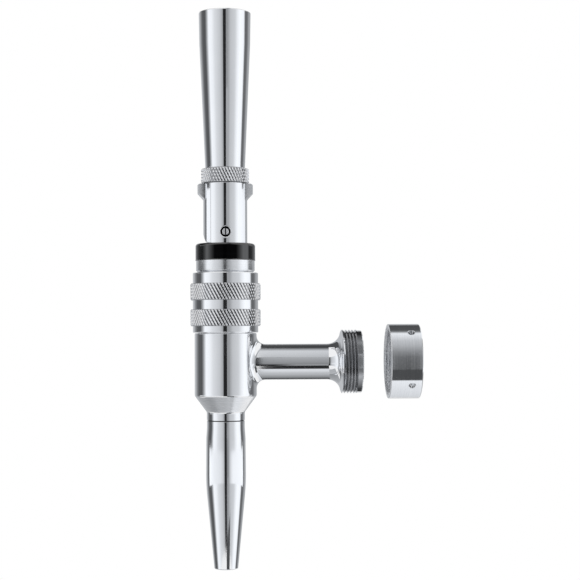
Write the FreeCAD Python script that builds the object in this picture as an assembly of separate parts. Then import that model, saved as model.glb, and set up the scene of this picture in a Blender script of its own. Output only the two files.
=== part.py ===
import FreeCAD, Part
import math
import os
from FreeCAD import Vector

# A side-pull stout faucet, in millimetres. The origin is the centre of the arm's inlet face.
# +X runs out of the inlet towards the shank, and +Z up the faucet's own axis at X = -reach.

# Clearances
running_clearance = 0.05  # radial, for the shaft in its bush and the pin in the tongue
seal_clearance = 0.02  # radial, between a squeezed ring and the bore around it
thread_clearance = 0.1  # radial, in screwed joints whose threads are left plain
nut_clearance = 0.09  # radial, between the thread crests of nut and arm
gasket_clearance = 0.1  # radial, for loose rings and discs in their pockets
cam_clearance = 0.15  # between the lever's foot and the cap
slot_clearance = 0.2  # each side of the shaft's tongue
guide_clearance = 0.3  # radial, where the shaft only passes through
seat_clearance = 0.1  # under the seal when shut
foot_gap = 0.25  # under the bonnet nut, whose lip clamps the bush
ring_gap = 0.3  # between bonnet nut and spring housing
overshoot = 1.0  # how far a cutting bar stands out of what it cuts
tee_margin = 0.2  # slack that keeps cut surfaces from just touching

# Faucet body
reach = 61.05  # faucet axis to inlet face
body_radius = 13.9
body_rise = 13.0  # arm axis to the body's shoulder
body_drop = 15.05  # arm axis to the start of the cone
body_edge = 0.5
cone_height = 7.3
cone_blend = 2.0
tail_radius = 8.5
tail_height = 3.55
neck_radius = 12.5
neck_height = 14.0
neck_chamfer = 0.8
chamber_radius = 9.5
chamber_depth = 11.5  # arm axis to the chamber's floor
throat_radius = 4.6
seat_lip_width = 1.2
seat_lip_height = 0.8
spout_socket_radius = 7.0
spout_socket_depth = 8.4

# Arm and threaded inlet
arm_radius = 8.0
arm_fillet = 3.8
weld_margin = 1.0  # foot of that fillet to the first weld
flare_length = 0.8
flare_fillet = 6.2
ferrule_lead = 6.0  # second weld to the flare's corner
thread_radius = 1.125 * 25.4 / 2.0  # 1 1/8 inch
thread_pitch = 25.4 / 18.0  # 18 threads per inch
thread_block = 9.3  # length of the threaded end
thread_start = 0.4  # shoulder to the first groove
thread_end_land = 2.4  # plain land beside the inlet face
thread_land_radius = 13.95
inlet_chamfer = 0.3
passage_radius = 4.0
inlet_bore_radius = 10.2
inlet_bore_depth = 3.4
gasket_radius = 9.2
gasket_bore = 5.2
gasket_thickness = 1.6

# Coupling nut, drawn unscrewed and set off along the arm
nut_gap = 12.05
nut_radius = 16.75
nut_length = 14.0
nut_wall = 2.8
nut_shank_bore = 11.3
nut_mouth_chamfer = 0.8
nut_mouth_edge = 0.2
nut_rear_chamfer = 0.3
nut_relief_width = 1.6
spanner_hole_radius = 1.5
spanner_hole_place = 9.4  # from the mouth
spanner_hole_angle = 50.5  # first hole, above the horizontal
spanner_hole_count = 4

# Spout and what it holds
spout_neck_radius = 8.45
spout_neck_height = 5.8
spout_belly_radius = 8.9
spout_step = 0.33
spout_length = 66.3
spout_taper_length = 37.2
spout_taper_blend = 90.0
spout_tip_radius = 5.3
spout_tip_edge = 0.4
spout_bore_radius = 4.7
spout_outlet_radius = 4.2
spout_outlet_length = 40.0
stub_ring_place = 1.2  # joint face to the ring groove
stub_ring_height = 2.0
stub_ring_depth = 1.1
plate_thickness = 1.5
plate_hole_radius = 0.5
plate_hole_count = 5
plate_hole_circle = 2.6
vane_count = 6
vane_thickness = 0.7
vane_core_radius = 0.9

# Bonnet nut
bonnet_land_radius = 14.65
bonnet_band_radius = 15.75
bonnet_foot_height = 2.9
bonnet_band_height = 7.5
bonnet_waist_height = 4.1
bonnet_head_height = 4.8
bonnet_edge = 0.4
bonnet_lip_thickness = 3.0
bonnet_lip_bore = 9.2
bonnet_head_bore = 10.6

# Guide bush
bush_flange_thickness = 3.0
bush_length = 8.0
bush_ring_height = 2.2
bush_ring_depth = 1.3
bush_ring_place = 3.0  # neck top down to the ring groove

# Spring housing and cam cap
housing_radius = 13.17
housing_height = 5.25
housing_chamfer = 0.7
housing_ceiling = 2.2
spring_bore = 8.6
cap_radius = 13.4
cap_lip_radius = 13.7
cap_lip_height = 1.2
cap_lip_edge = 0.2
cap_height = 7.55
cap_edge = 1.3
cap_spigot_radius = 8.0
cap_spigot_depth = 0.9

# Valve shaft and what it carries
shaft_radius = 4.0
shaft_foot_radius = 6.4
shaft_foot_height = 3.0
shaft_ring_depth = 1.1
shaft_ring_height = 2.2
shaft_ring_spacing = 3.6
shaft_ring_place = 2.2  # bush underside to the lower ring's middle
clip_rise = 0.6  # bush top to the clip
clip_thickness = 1.0
clip_radius = 5.6
clip_groove_depth = 0.8
clip_opening = 70.0  # degrees
washer_radius = 8.0
washer_thickness = 1.2
spring_mean_radius = 6.4
spring_wire = 1.3
spring_turns = 4.0
spring_end_gap = 0.05
seal_radius = 7.2
seal_thickness = 2.6
seal_screw_radius = 1.5
seal_screw_length = 8.0
seal_screw_head_radius = 2.8
seal_screw_head_height = 1.8
screw_slot_width = 0.6
screw_slot_depth = 0.6
tongue_width = 4.4
tongue_reach = 3.9  # pin centre to the tongue's round end
tongue_drop = 8.3  # pin centre to the round part of the shaft

# Lever
lever_radius = 9.88
lever_height = 27.1
lever_edge = 0.5
pin_rise = 4.8  # foot to pin centre
pull_angle = 30.0  # degrees, full pull
cam_rate = 5.67  # lift in mm per radian of pull
cam_points = 9
relief_rise = 1.4  # pin centre to the top of the front relief
relief_bulge = 0.3
ear_reach = 12.46
ear_inner = 9.3  # lever axis to the flat that ends each ear
ear_height = 4.35
ear_drop = 0.45  # lever top to the ear's top
ear_taper = 2.85
ear_edge = 0.6
ear_blend = 3.0
slot_margin = 0.3  # slot end beyond the tongue
pin_radius = 1.55
pin_recess = 0.5  # pin end below the lever's side
pin_grip = 4.6  # pin's hold in the rear cheek
pin_counterbore = 2.37
pin_cheek = 2.2  # cheek left under the counterbore
pin_bush_wall = 0.85

# Handle
stud_radius = 4.76  # 3/8 inch
stud_in_lever = 13.0
stud_in_handle = 16.0
stud_end_space = 1.0
stud_chamfer = 0.8
collar_radius = 10.8
collar_height = 6.4
collar_chamfer = 0.4
handle_length = 70.7
handle_foot_radius = 8.9
handle_top_radius = 11.7
handle_shoulder_radius = 11.45
handle_shoulder_drop = 14.0
handle_blend = 60.0
handle_top_edge = 0.7
handle_foot_edge = 0.4

# Heights along the faucet's axis, built up from the arm's axis
axis_x = -reach
weld_x = axis_x + body_radius + arm_fillet + weld_margin
ferrule_x = -thread_block - flare_length - ferrule_lead
tail_z = -(body_drop + cone_height + tail_height)
neck_z = body_rise + neck_height
floor_z = -chamber_depth
shelf_z = tail_z + spout_socket_depth
bush_top_z = neck_z + bush_flange_thickness
bush_foot_z = neck_z - bush_length
lip_top_z = bush_top_z + bonnet_lip_thickness
bonnet_foot_z = body_rise + foot_gap
lower_band_z = bonnet_foot_z + bonnet_foot_height
waist_z = lower_band_z + bonnet_band_height
upper_band_z = waist_z + bonnet_waist_height
head_z = upper_band_z + bonnet_band_height
bonnet_top_z = head_z + bonnet_head_height
housing_z = bonnet_top_z + ring_gap
cap_z = housing_z + housing_height
ceiling_z = cap_z - housing_ceiling
cap_top_z = cap_z + cap_height
lever_z = cap_top_z + cam_clearance
pin_z = lever_z + pin_rise
lever_top_z = lever_z + lever_height
collar_top_z = lever_top_z + collar_height
seal_z = floor_z + seat_lip_height + seat_clearance
foot_z = seal_z + seal_thickness
clip_z = bush_top_z + clip_rise
washer_z = clip_z + clip_thickness
spring_z = washer_z + washer_thickness + spring_end_gap
spring_top_z = ceiling_z - spring_end_gap

# Sizes that follow from a fit
thread_depth = 0.61343 * thread_pitch
thread_root = thread_radius - thread_depth
bonnet_thread = neck_radius + thread_clearance
stub_radius = spout_socket_radius - thread_clearance
nut_crest = thread_radius + nut_clearance
nut_root = nut_crest + thread_depth
bush_bore = shaft_radius + running_clearance
bush_radius = chamber_radius - running_clearance
stud_hole = stud_radius + thread_clearance
pin_hole = pin_radius + running_clearance
slot_half = tongue_width / 2.0 + slot_clearance

X = Vector(1, 0, 0)
Y = Vector(0, 1, 0)
Z = Vector(0, 0, 1)
centre = Vector(0, 0, 0)


def closedOutline(corners):
    """A closed wire in the XZ plane through corners (x, z) or (x, z, rounding)."""
    count = len(corners)
    points = [Vector(corner[0], 0, corner[1]) for corner in corners]
    ends = []
    arcs = []
    for i, corner in enumerate(corners):
        here = points[i]
        if len(corner) < 3 or corner[2] <= 0:
            ends.append((here, here))
            arcs.append(None)
            continue
        back = (points[i - 1] - here).normalize()
        ahead = (points[(i + 1) % count] - here).normalize()
        half = back.getAngle(ahead) / 2.0
        first = here + back * (corner[2] / math.tan(half))
        last = here + ahead * (corner[2] / math.tan(half))
        bisector = (back + ahead).normalize()
        middle = here + bisector * (corner[2] / math.sin(half) - corner[2])
        ends.append((first, last))
        arcs.append(Part.Arc(first, middle, last).toShape())
    edges = []
    for i in range(count):
        if arcs[i] is not None:
            edges.append(arcs[i])
        start = ends[i][1]
        stop = ends[(i + 1) % count][0]
        if start.distanceToPoint(stop) > 1e-6:
            edges.append(Part.LineSegment(start, stop).toShape())
    return Part.Wire(edges)


def turned(corners):
    """A body of revolution about the faucet's axis, from (radius, height) corners."""
    shape = Part.Face(closedOutline(corners)).revolve(centre, Z, 360)
    shape.translate(X * axis_x)
    return shape


def turnedOnArm(corners):
    """A body of revolution about the arm's axis, from (x, radius) corners."""
    return Part.Face(closedOutline(corners)).revolve(centre, X, 360)


def post(radius, low, high):
    """A round bar on the faucet's axis between two heights."""
    return Part.makeCylinder(radius, high - low, Vector(axis_x, 0, low), Z)


def tube(inner, outer, low, high):
    """A plain ring on the faucet's axis."""
    return post(outer, low, high).cut(post(inner, low, high))


def squeezedRing(inner, outer, low, high):
    """A sealing ring pressed to a rounded block by its groove."""
    rounding = 0.3 * min(outer - inner, high - low)
    corners = [(inner, low, rounding), (outer, low, rounding)]
    corners += [(outer, high, rounding), (inner, high, rounding)]
    return turned(corners)


def screwGroove(radius, deep, length, outward):
    """A helical 60 degree groove along +Z from Z = 0, cut from a round surface."""
    mouth = 0.4375 * thread_pitch
    root = mouth - deep * math.tan(math.radians(30))
    side = 1 if outward else -1
    lift = 0.05  # the groove's mouth stands this far clear of the surface
    corners = [(radius - side * lift, -mouth), (radius + side * deep, -root)]
    corners += [(radius + side * deep, root), (radius - side * lift, mouth)]
    spine = Part.Wire(Part.makeHelix(thread_pitch, length, radius).Edges)
    return spine.makePipeShell([closedOutline(corners)], True, True)


def alongArm(shape, x):
    """Turn a shape that was made along +Z so that it runs along +X from x."""
    shape.rotate(centre, Y, 90)
    shape.translate(X * x)
    return shape


def barOnArm(radius, low, high):
    """A round bar on the arm's axis between two places along X."""
    return Part.makeCylinder(radius, high - low, Vector(low, 0, 0), X)


def filletedTee():
    """The plain crossing of body and arm stub, with the fillet between them."""
    half = arm_radius + arm_fillet + tee_margin
    tee = post(body_radius, -half, half).fuse(barOnArm(arm_radius, axis_x, weld_x))
    seam = [edge for edge in tee.Edges
            if edge.BoundBox.XMin > axis_x and edge.BoundBox.XMax < axis_x + body_radius + tee_margin
            and edge.BoundBox.ZLength > tee_margin and edge.BoundBox.YLength > tee_margin]
    return tee.makeFillet(arm_fillet, seam)


def makeFaucetBody():
    cone_z = -body_drop
    shell = turned([
        (0, tail_z),
        (tail_radius, tail_z),
        (tail_radius, cone_z - cone_height, cone_blend),
        (body_radius, cone_z, cone_blend),
        (body_radius, body_rise, body_edge),
        (neck_radius, body_rise),
        (neck_radius, neck_z - neck_chamfer),
        (neck_radius - neck_chamfer, neck_z),
        (0, neck_z)])
    body = shell.fuse(filletedTee()).removeSplitter()
    lip = tube(throat_radius, throat_radius + seat_lip_width, floor_z, floor_z + seat_lip_height)
    return body.cut([
        post(chamber_radius, floor_z, neck_z + overshoot).cut(lip),
        post(throat_radius, shelf_z - overshoot, floor_z + seat_lip_height),
        post(spout_socket_radius, tail_z - overshoot, shelf_z),
        barOnArm(passage_radius, axis_x, weld_x + overshoot)])


def makeInletArm():
    return barOnArm(arm_radius, weld_x, ferrule_x).cut(barOnArm(passage_radius, weld_x, ferrule_x))


def makeInletFerrule():
    """The arm's flared end with the coupling thread, the shank's socket and the gasket's seat."""
    block_x = -thread_block
    gasket_x = -inlet_bore_depth - gasket_thickness
    ferrule = turnedOnArm([
        (ferrule_x, passage_radius),
        (ferrule_x, arm_radius),
        (block_x - flare_length, arm_radius, flare_fillet),
        (block_x, thread_root),
        (block_x + thread_start, thread_radius),
        (-thread_end_land, thread_radius),
        (-thread_end_land, thread_land_radius),
        (-inlet_chamfer, thread_land_radius),
        (0, thread_land_radius - inlet_chamfer),
        (0, inlet_bore_radius),
        (-inlet_bore_depth, inlet_bore_radius),
        (-inlet_bore_depth, gasket_radius + gasket_clearance),
        (gasket_x, gasket_radius + gasket_clearance),
        (gasket_x, passage_radius)])
    grooved = thread_block - thread_start - thread_end_land
    groove = alongArm(screwGroove(thread_radius, thread_depth, grooved, False), block_x + thread_start)
    return ferrule.cut(groove)


def makeInletGasket():
    low = -inlet_bore_depth - gasket_thickness
    high = -inlet_bore_depth
    return barOnArm(gasket_radius, low, high).cut(barOnArm(gasket_bore, low, high))


def makeCouplingNut():
    rear = nut_gap + nut_length
    wall_x = rear - nut_wall
    nut = turnedOnArm([
        (nut_gap, nut_crest + nut_mouth_chamfer),
        (nut_gap + nut_mouth_chamfer, nut_crest),
        (wall_x - nut_relief_width, nut_crest),
        (wall_x - nut_relief_width, nut_root),
        (wall_x, nut_root),
        (wall_x, nut_shank_bore),
        (rear, nut_shank_bore),
        (rear, nut_radius - nut_rear_chamfer),
        (rear - nut_rear_chamfer, nut_radius),
        (nut_gap, nut_radius, nut_mouth_edge)])
    grooved = nut_length - nut_wall - nut_relief_width - nut_mouth_chamfer + thread_pitch / 2.0
    groove = alongArm(screwGroove(nut_crest, thread_depth, grooved, True), nut_gap + nut_mouth_chamfer)
    nut = nut.cut(groove)
    for i in range(spanner_hole_count):
        angle = math.radians(spanner_hole_angle + i * 360.0 / spanner_hole_count)
        outward = Vector(0, -math.cos(angle), math.sin(angle))
        start = X * (nut_gap + spanner_hole_place) + outward * nut_shank_bore
        nut = nut.cut(Part.makeCylinder(spanner_hole_radius, nut_radius, start, outward))
    return nut


def makeSpout():
    stub_z = shelf_z - plate_thickness
    neck_end = tail_z - spout_neck_height
    tip_z = tail_z - spout_length
    taper_z = tip_z + spout_taper_length
    ring_low = tail_z + stub_ring_place
    ring_floor = stub_radius - stub_ring_depth
    spout = turned([
        (spout_bore_radius, stub_z),
        (stub_radius, stub_z),
        (stub_radius, ring_low + stub_ring_height),
        (ring_floor, ring_low + stub_ring_height),
        (ring_floor, ring_low),
        (stub_radius, ring_low),
        (stub_radius, tail_z),
        (spout_neck_radius, tail_z),
        (spout_neck_radius, neck_end),
        (spout_neck_radius + spout_step, neck_end - spout_step),
        (spout_belly_radius, taper_z, spout_taper_blend),
        (spout_tip_radius, tip_z, spout_tip_edge),
        (spout_outlet_radius, tip_z),
        (spout_outlet_radius, tip_z + spout_outlet_length),
        (spout_bore_radius, tip_z + spout_outlet_length)])
    return spout


def makeSpoutRing():
    low = tail_z + stub_ring_place
    return squeezedRing(stub_radius - stub_ring_depth, spout_socket_radius - seal_clearance,
                        low, low + stub_ring_height)


def makeRestrictorPlate():
    plate = post(spout_socket_radius - gasket_clearance, shelf_z - plate_thickness, shelf_z)
    for i in range(plate_hole_count):
        angle = 2 * math.pi * i / plate_hole_count
        hole = post(plate_hole_radius, shelf_z - plate_thickness, shelf_z)
        hole.translate(Vector(plate_hole_circle * math.cos(angle), plate_hole_circle * math.sin(angle), 0))
        plate = plate.cut(hole)
    return plate


def makeFlowStraightener():
    low = tail_z - spout_length + spout_outlet_length
    high = shelf_z - plate_thickness
    core = post(vane_core_radius, low, high)
    vanes = []
    for i in range(vane_count):
        vane = Part.makeBox(spout_bore_radius, vane_thickness, high - low,
                            Vector(0, -vane_thickness / 2.0, low))
        vane.rotate(centre, Z, i * 360.0 / vane_count)
        vane.translate(X * axis_x)
        vanes.append(vane)
    return core.fuse(vanes).common(post(spout_bore_radius - gasket_clearance, low, high)).removeSplitter()


def makeBonnetNut():
    band = bonnet_band_radius
    land = bonnet_land_radius
    return turned([
        (bonnet_thread, bonnet_foot_z),
        (land, bonnet_foot_z, bonnet_edge),
        (land, lower_band_z),
        (band - bonnet_edge, lower_band_z),
        (band, lower_band_z + bonnet_edge),
        (band, waist_z - bonnet_edge),
        (band - bonnet_edge, waist_z),
        (land, waist_z),
        (land, upper_band_z),
        (band - bonnet_edge, upper_band_z),
        (band, upper_band_z + bonnet_edge),
        (band, head_z - bonnet_edge),
        (band - bonnet_edge, head_z),
        (land, head_z),
        (land, bonnet_top_z, bonnet_edge),
        (bonnet_head_bore, bonnet_top_z),
        (bonnet_head_bore, lip_top_z),
        (bonnet_lip_bore, lip_top_z),
        (bonnet_lip_bore, bush_top_z),
        (bonnet_thread, bush_top_z)])


def makeGuideBush():
    groove_top = neck_z - bush_ring_place
    groove_foot = groove_top - bush_ring_height
    groove_floor = bush_radius - bush_ring_depth
    return turned([
        (bush_bore, bush_foot_z),
        (bush_radius, bush_foot_z),
        (bush_radius, groove_foot),
        (groove_floor, groove_foot),
        (groove_floor, groove_top),
        (bush_radius, groove_top),
        (bush_radius, neck_z),
        (neck_radius - thread_clearance, neck_z),
        (neck_radius - thread_clearance, bush_top_z),
        (bush_bore, bush_top_z)])


def makeBushRing():
    top = neck_z - bush_ring_place
    return squeezedRing(bush_radius - bush_ring_depth, chamber_radius - seal_clearance,
                        top - bush_ring_height, top)


def makeSpringHousing():
    spigot = bonnet_head_bore - thread_clearance
    return turned([
        (spring_bore, lip_top_z),
        (spigot, lip_top_z),
        (spigot, housing_z),
        (housing_radius - housing_chamfer, housing_z),
        (housing_radius, housing_z + housing_chamfer),
        (housing_radius, cap_z),
        (cap_spigot_radius + gasket_clearance, cap_z),
        (cap_spigot_radius + gasket_clearance, cap_z - cap_spigot_depth),
        (shaft_radius + guide_clearance, cap_z - cap_spigot_depth),
        (shaft_radius + guide_clearance, ceiling_z),
        (spring_bore, ceiling_z)])


def makeCamCap():
    return turned([
        (shaft_radius + guide_clearance, cap_z - cap_spigot_depth),
        (cap_spigot_radius, cap_z - cap_spigot_depth),
        (cap_spigot_radius, cap_z),
        (cap_lip_radius, cap_z, cap_lip_edge),
        (cap_lip_radius, cap_z + cap_lip_height, cap_lip_edge),
        (cap_radius, cap_z + cap_lip_height + cap_lip_radius - cap_radius),
        (cap_radius, cap_top_z, cap_edge),
        (shaft_radius + guide_clearance, cap_top_z)])


def ringHeights():
    """Lower and upper face of each sealing ring on the shaft, from the bottom."""
    lowest = bush_foot_z + shaft_ring_place - shaft_ring_height / 2.0
    return [(lowest + i * shaft_ring_spacing, lowest + i * shaft_ring_spacing + shaft_ring_height)
            for i in range(2)]


def makeValveShaft():
    tongue_z = pin_z - tongue_drop
    shaft = post(shaft_radius, foot_z, tongue_z)
    shaft = shaft.fuse(post(shaft_foot_radius, foot_z, foot_z + shaft_foot_height))
    blade = Part.makeBox(2 * tongue_reach, tongue_width, tongue_drop + overshoot,
                         Vector(axis_x - tongue_reach, -tongue_width / 2.0, tongue_z - overshoot))
    tip = Part.makeCylinder(tongue_reach, tongue_width, Vector(axis_x, -tongue_width / 2.0, pin_z), Y)
    blade = blade.common(post(shaft_radius, tongue_z - overshoot, pin_z))
    shaft = shaft.fuse([blade, tip])
    for low, high in ringHeights():
        shaft = shaft.cut(tube(shaft_radius - shaft_ring_depth, shaft_radius + overshoot, low, high))
    shaft = shaft.cut(tube(shaft_radius - clip_groove_depth, shaft_radius + overshoot, clip_z,
                           clip_z + clip_thickness))
    shaft = shaft.cut(post(seal_screw_radius + running_clearance, foot_z, foot_z + seal_screw_length))
    bush = Part.makeCylinder(pin_hole + pin_bush_wall, tongue_width,
                             Vector(axis_x, -tongue_width / 2.0, pin_z), Y)
    return shaft.cut(bush).removeSplitter()


def makePivotBush():
    start = Vector(axis_x, -tongue_width / 2.0, pin_z)
    sleeve = Part.makeCylinder(pin_hole + pin_bush_wall, tongue_width, start, Y)
    return sleeve.cut(Part.makeCylinder(pin_hole, tongue_width, start, Y))


def makeShaftRing(index):
    low, high = ringHeights()[index]
    return squeezedRing(shaft_radius - shaft_ring_depth, bush_bore - seal_clearance, low, high)


def makeShaftClip():
    inner = shaft_radius - clip_groove_depth + running_clearance
    ring = tube(inner, clip_radius, clip_z, clip_z + clip_thickness)
    half = math.radians(clip_opening / 2.0)
    far = 2 * clip_radius
    corners = [Vector(axis_x, 0, clip_z)]
    corners.append(Vector(axis_x - far * math.cos(half), -far * math.sin(half), clip_z))
    corners.append(Vector(axis_x - far * math.cos(half), far * math.sin(half), clip_z))
    corners.append(corners[0])
    wedge = Part.Face(Part.makePolygon(corners)).extrude(Z * clip_thickness)
    return ring.cut(wedge)


def makeSpringWasher():
    return tube(shaft_radius + running_clearance, washer_radius, washer_z, washer_z + washer_thickness)


def makeReturnSpring():
    height = spring_top_z - spring_z - spring_wire
    spine = Part.makeHelix(height / spring_turns, height, spring_mean_radius)
    section = Part.Wire(Part.makeCircle(spring_wire / 2.0, Vector(spring_mean_radius, 0, 0), Y))
    coil = Part.Wire(spine.Edges).makePipeShell([section], True, True)
    coil.translate(Vector(axis_x, 0, spring_z + spring_wire / 2.0))
    return coil


def makeValveSeal():
    return tube(seal_screw_radius + running_clearance, seal_radius, seal_z, foot_z)


def makeSealScrew():
    head_z = seal_z - seal_screw_head_height
    screw = post(seal_screw_radius, seal_z, seal_z + seal_screw_length)
    screw = screw.fuse(post(seal_screw_head_radius, head_z, seal_z))
    slot = Part.makeBox(2 * seal_screw_head_radius, screw_slot_width, screw_slot_depth,
                        Vector(axis_x - seal_screw_head_radius, -screw_slot_width / 2.0, head_z))
    return screw.cut(slot)


def camEdge():
    """The involute that lifts the pin by cam_rate for each radian of pull, seen along +Y."""
    points = []
    for i in range(cam_points):
        turn = math.radians(pull_angle) * i / (cam_points - 1)
        rise = pin_rise + cam_rate * turn
        across = -cam_rate * math.cos(turn) - rise * math.sin(turn)
        up = cam_rate * math.sin(turn) - rise * math.cos(turn)
        points.append(Vector(axis_x + across, 0, pin_z + up))
    curve = Part.BSplineCurve()
    curve.interpolate(points)
    return curve.toShape(), points[0], points[-1]


def camRelief():
    """What the cam takes off the lever's front foot, as a bar across the lever."""
    cam, cam_start, cam_end = camEdge()
    side_x = axis_x - lever_radius - tee_margin
    below = lever_z - overshoot
    relief_top = Vector(side_x, 0, pin_z + relief_rise)
    chord = relief_top - cam_end
    outward = Vector(-chord.z, 0, chord.x).normalize()
    middle = (cam_end + relief_top) * 0.5 + outward * relief_bulge
    foot = Vector(side_x, 0, below)
    heel = Vector(cam_start.x, 0, below)
    edges = [
        cam,
        Part.Arc(cam_end, middle, relief_top).toShape(),
        Part.LineSegment(relief_top, foot).toShape(),
        Part.LineSegment(foot, heel).toShape(),
        Part.LineSegment(heel, cam_start).toShape()]
    bar = Part.Face(Part.Wire(edges)).extrude(Y * (4 * lever_radius))
    bar.translate(-Y * (2 * lever_radius))
    return bar


def leverEars():
    """A turned flange kept only beyond a flat on each side, as two ears along X."""
    top = lever_top_z - ear_drop
    inner = lever_radius - overshoot
    flange = turned([
        (0, top),
        (0, top - ear_height - ear_taper - ear_blend),
        (inner, top - ear_height - ear_taper - ear_blend),
        (lever_radius, top - ear_height - ear_taper, ear_blend),
        (ear_reach, top - ear_height, ear_edge),
        (ear_reach, top, ear_edge)])
    between = Part.makeBox(2 * ear_inner, 2 * ear_reach, lever_height,
                           Vector(axis_x - ear_inner, -ear_reach, lever_z))
    return flange.cut(between)


def tongueSlot():
    """The room that the shaft's tongue needs while the lever turns about the pin."""
    reach_round = tongue_reach + slot_margin
    lean = math.radians(pull_angle)
    drop = pin_rise + overshoot
    tangent = Vector(-reach_round * math.cos(lean), 0, reach_round * math.sin(lean))
    foot_x = tangent.x - (drop + tangent.z) * math.tan(lean)
    corners = [
        Vector(reach_round, 0, 0),
        Vector(reach_round, 0, -drop),
        Vector(foot_x, 0, -drop),
        tangent,
        Vector(reach_round, 0, 0)]
    slot = Part.Face(Part.makePolygon(corners)).extrude(Y * (2 * slot_half))
    slot = slot.fuse(Part.makeCylinder(reach_round, 2 * slot_half, centre, Y))
    slot.translate(Vector(axis_x, -slot_half, pin_z))
    return slot


def makeLever():
    barrel = turned([
        (0, lever_z),
        (lever_radius, lever_z),
        (lever_radius, lever_top_z, lever_edge),
        (0, lever_top_z)])
    lever = barrel.cut(camRelief()).fuse(leverEars())
    stud_foot = lever_top_z - stud_in_lever - stud_end_space
    counterbore_y = -slot_half - pin_cheek
    lever = lever.cut([
        tongueSlot(),
        post(stud_hole, stud_foot, lever_top_z + overshoot),
        Part.makeCylinder(pin_hole, slot_half + pin_cheek + overshoot,
                          Vector(axis_x, counterbore_y - overshoot, pin_z), Y),
        Part.makeCylinder(pin_hole, pin_grip + stud_end_space, Vector(axis_x, slot_half, pin_z), Y),
        Part.makeCylinder(pin_counterbore, lever_radius + counterbore_y,
                          Vector(axis_x, counterbore_y, pin_z), -Y)])
    return lever.removeSplitter()


def makePivotScrew():
    front = -lever_radius + pin_recess
    back = slot_half + pin_grip
    pin = Part.makeCylinder(pin_radius, back - front, Vector(axis_x, front, pin_z), Y)
    slot = Part.makeBox(screw_slot_width, screw_slot_depth, 2 * pin_radius,
                        Vector(axis_x - screw_slot_width / 2.0, front, pin_z - pin_radius))
    return pin.cut(slot)


def makeHandleStud():
    low = lever_top_z - stud_in_lever
    high = collar_top_z + stud_in_handle
    return turned([
        (0, low),
        (stud_radius - stud_chamfer, low),
        (stud_radius, low + stud_chamfer),
        (stud_radius, high - stud_chamfer),
        (stud_radius - stud_chamfer, high),
        (0, high)])


def makeLockCollar():
    return turned([
        (stud_hole, lever_top_z),
        (collar_radius - collar_chamfer, lever_top_z),
        (collar_radius, lever_top_z + collar_chamfer),
        (collar_radius, collar_top_z - collar_chamfer),
        (collar_radius - collar_chamfer, collar_top_z),
        (stud_hole, collar_top_z)])


def makeHandle():
    top = collar_top_z + handle_length
    hole_top = collar_top_z + stud_in_handle + stud_end_space
    return turned([
        (stud_hole, collar_top_z),
        (handle_foot_radius - handle_foot_edge, collar_top_z),
        (handle_foot_radius, collar_top_z + handle_foot_edge),
        (handle_shoulder_radius, top - handle_shoulder_drop, handle_blend),
        (handle_top_radius, top, handle_top_edge),
        (0, top),
        (0, hole_top),
        (stud_hole, hole_top)])


nodes = {
    "faucet_body": makeFaucetBody(),
    "inlet_arm": makeInletArm(),
    "inlet_ferrule": makeInletFerrule(),
    "inlet_gasket": makeInletGasket(),
    "coupling_nut": makeCouplingNut(),
    "spout": makeSpout(),
    "spout_o_ring": makeSpoutRing(),
    "restrictor_plate": makeRestrictorPlate(),
    "flow_straightener": makeFlowStraightener(),
    "bonnet_nut": makeBonnetNut(),
    "guide_bush": makeGuideBush(),
    "bush_o_ring": makeBushRing(),
    "spring_housing": makeSpringHousing(),
    "cam_cap": makeCamCap(),
    "valve_shaft": makeValveShaft(),
    "shaft_o_ring_lower": makeShaftRing(0),
    "shaft_o_ring_upper": makeShaftRing(1),
    "shaft_clip": makeShaftClip(),
    "spring_washer": makeSpringWasher(),
    "return_spring": makeReturnSpring(),
    "valve_seal": makeValveSeal(),
    "seal_screw": makeSealScrew(),
    "pivot_bush": makePivotBush(),
    "pivot_screw": makePivotScrew(),
    "lever": makeLever(),
    "handle_stud": makeHandleStud(),
    "lock_collar": makeLockCollar(),
    "handle": makeHandle(),
}

os.makedirs("parts", exist_ok=True)
for name, shape in nodes.items():
    shape.exportStep("parts/" + name + ".step")
    print(name, "solids", len(shape.Solids), "valid", shape.isValid(), "volume", round(shape.Volume, 1))
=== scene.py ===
import math
from types import SimpleNamespace

import bpy
import numpy as np
from mathutils import Matrix, Vector
from mathutils.bvhtree import BVHTree
from mathutils.interpolate import poly_3d_calc


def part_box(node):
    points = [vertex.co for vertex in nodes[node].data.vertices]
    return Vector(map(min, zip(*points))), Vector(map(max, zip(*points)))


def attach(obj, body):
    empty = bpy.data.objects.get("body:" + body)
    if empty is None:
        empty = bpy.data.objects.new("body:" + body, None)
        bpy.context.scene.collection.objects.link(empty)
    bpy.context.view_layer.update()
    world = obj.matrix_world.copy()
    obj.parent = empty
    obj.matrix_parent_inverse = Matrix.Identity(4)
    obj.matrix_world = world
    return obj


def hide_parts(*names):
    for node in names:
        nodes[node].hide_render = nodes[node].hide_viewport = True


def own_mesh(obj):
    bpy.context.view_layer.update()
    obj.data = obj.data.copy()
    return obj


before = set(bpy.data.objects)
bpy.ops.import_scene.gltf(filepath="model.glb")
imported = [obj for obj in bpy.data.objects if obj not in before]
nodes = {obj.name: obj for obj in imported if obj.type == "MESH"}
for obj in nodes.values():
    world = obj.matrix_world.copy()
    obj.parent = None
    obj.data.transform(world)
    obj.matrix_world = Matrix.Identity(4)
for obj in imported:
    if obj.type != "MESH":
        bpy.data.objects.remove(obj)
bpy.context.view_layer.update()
mm = 0.001
tiny = 1e-6
slack = 0.02  # millimetres past a place that is known exactly, in tests on the centres of faces


def boxMm(node):
    low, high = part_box(node)
    return low / mm, high / mm


def heights(node):
    low, high = boxMm(node)
    return low.z, high.z


def halfWidth(node):
    low, high = boxMm(node)
    return (high.y - low.y) / 2


axisX = sum(corner.x for corner in boxMm("handle")) / 2
print("frame loaded, faucet axis at X =", round(axisX, 2), "mm")

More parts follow.
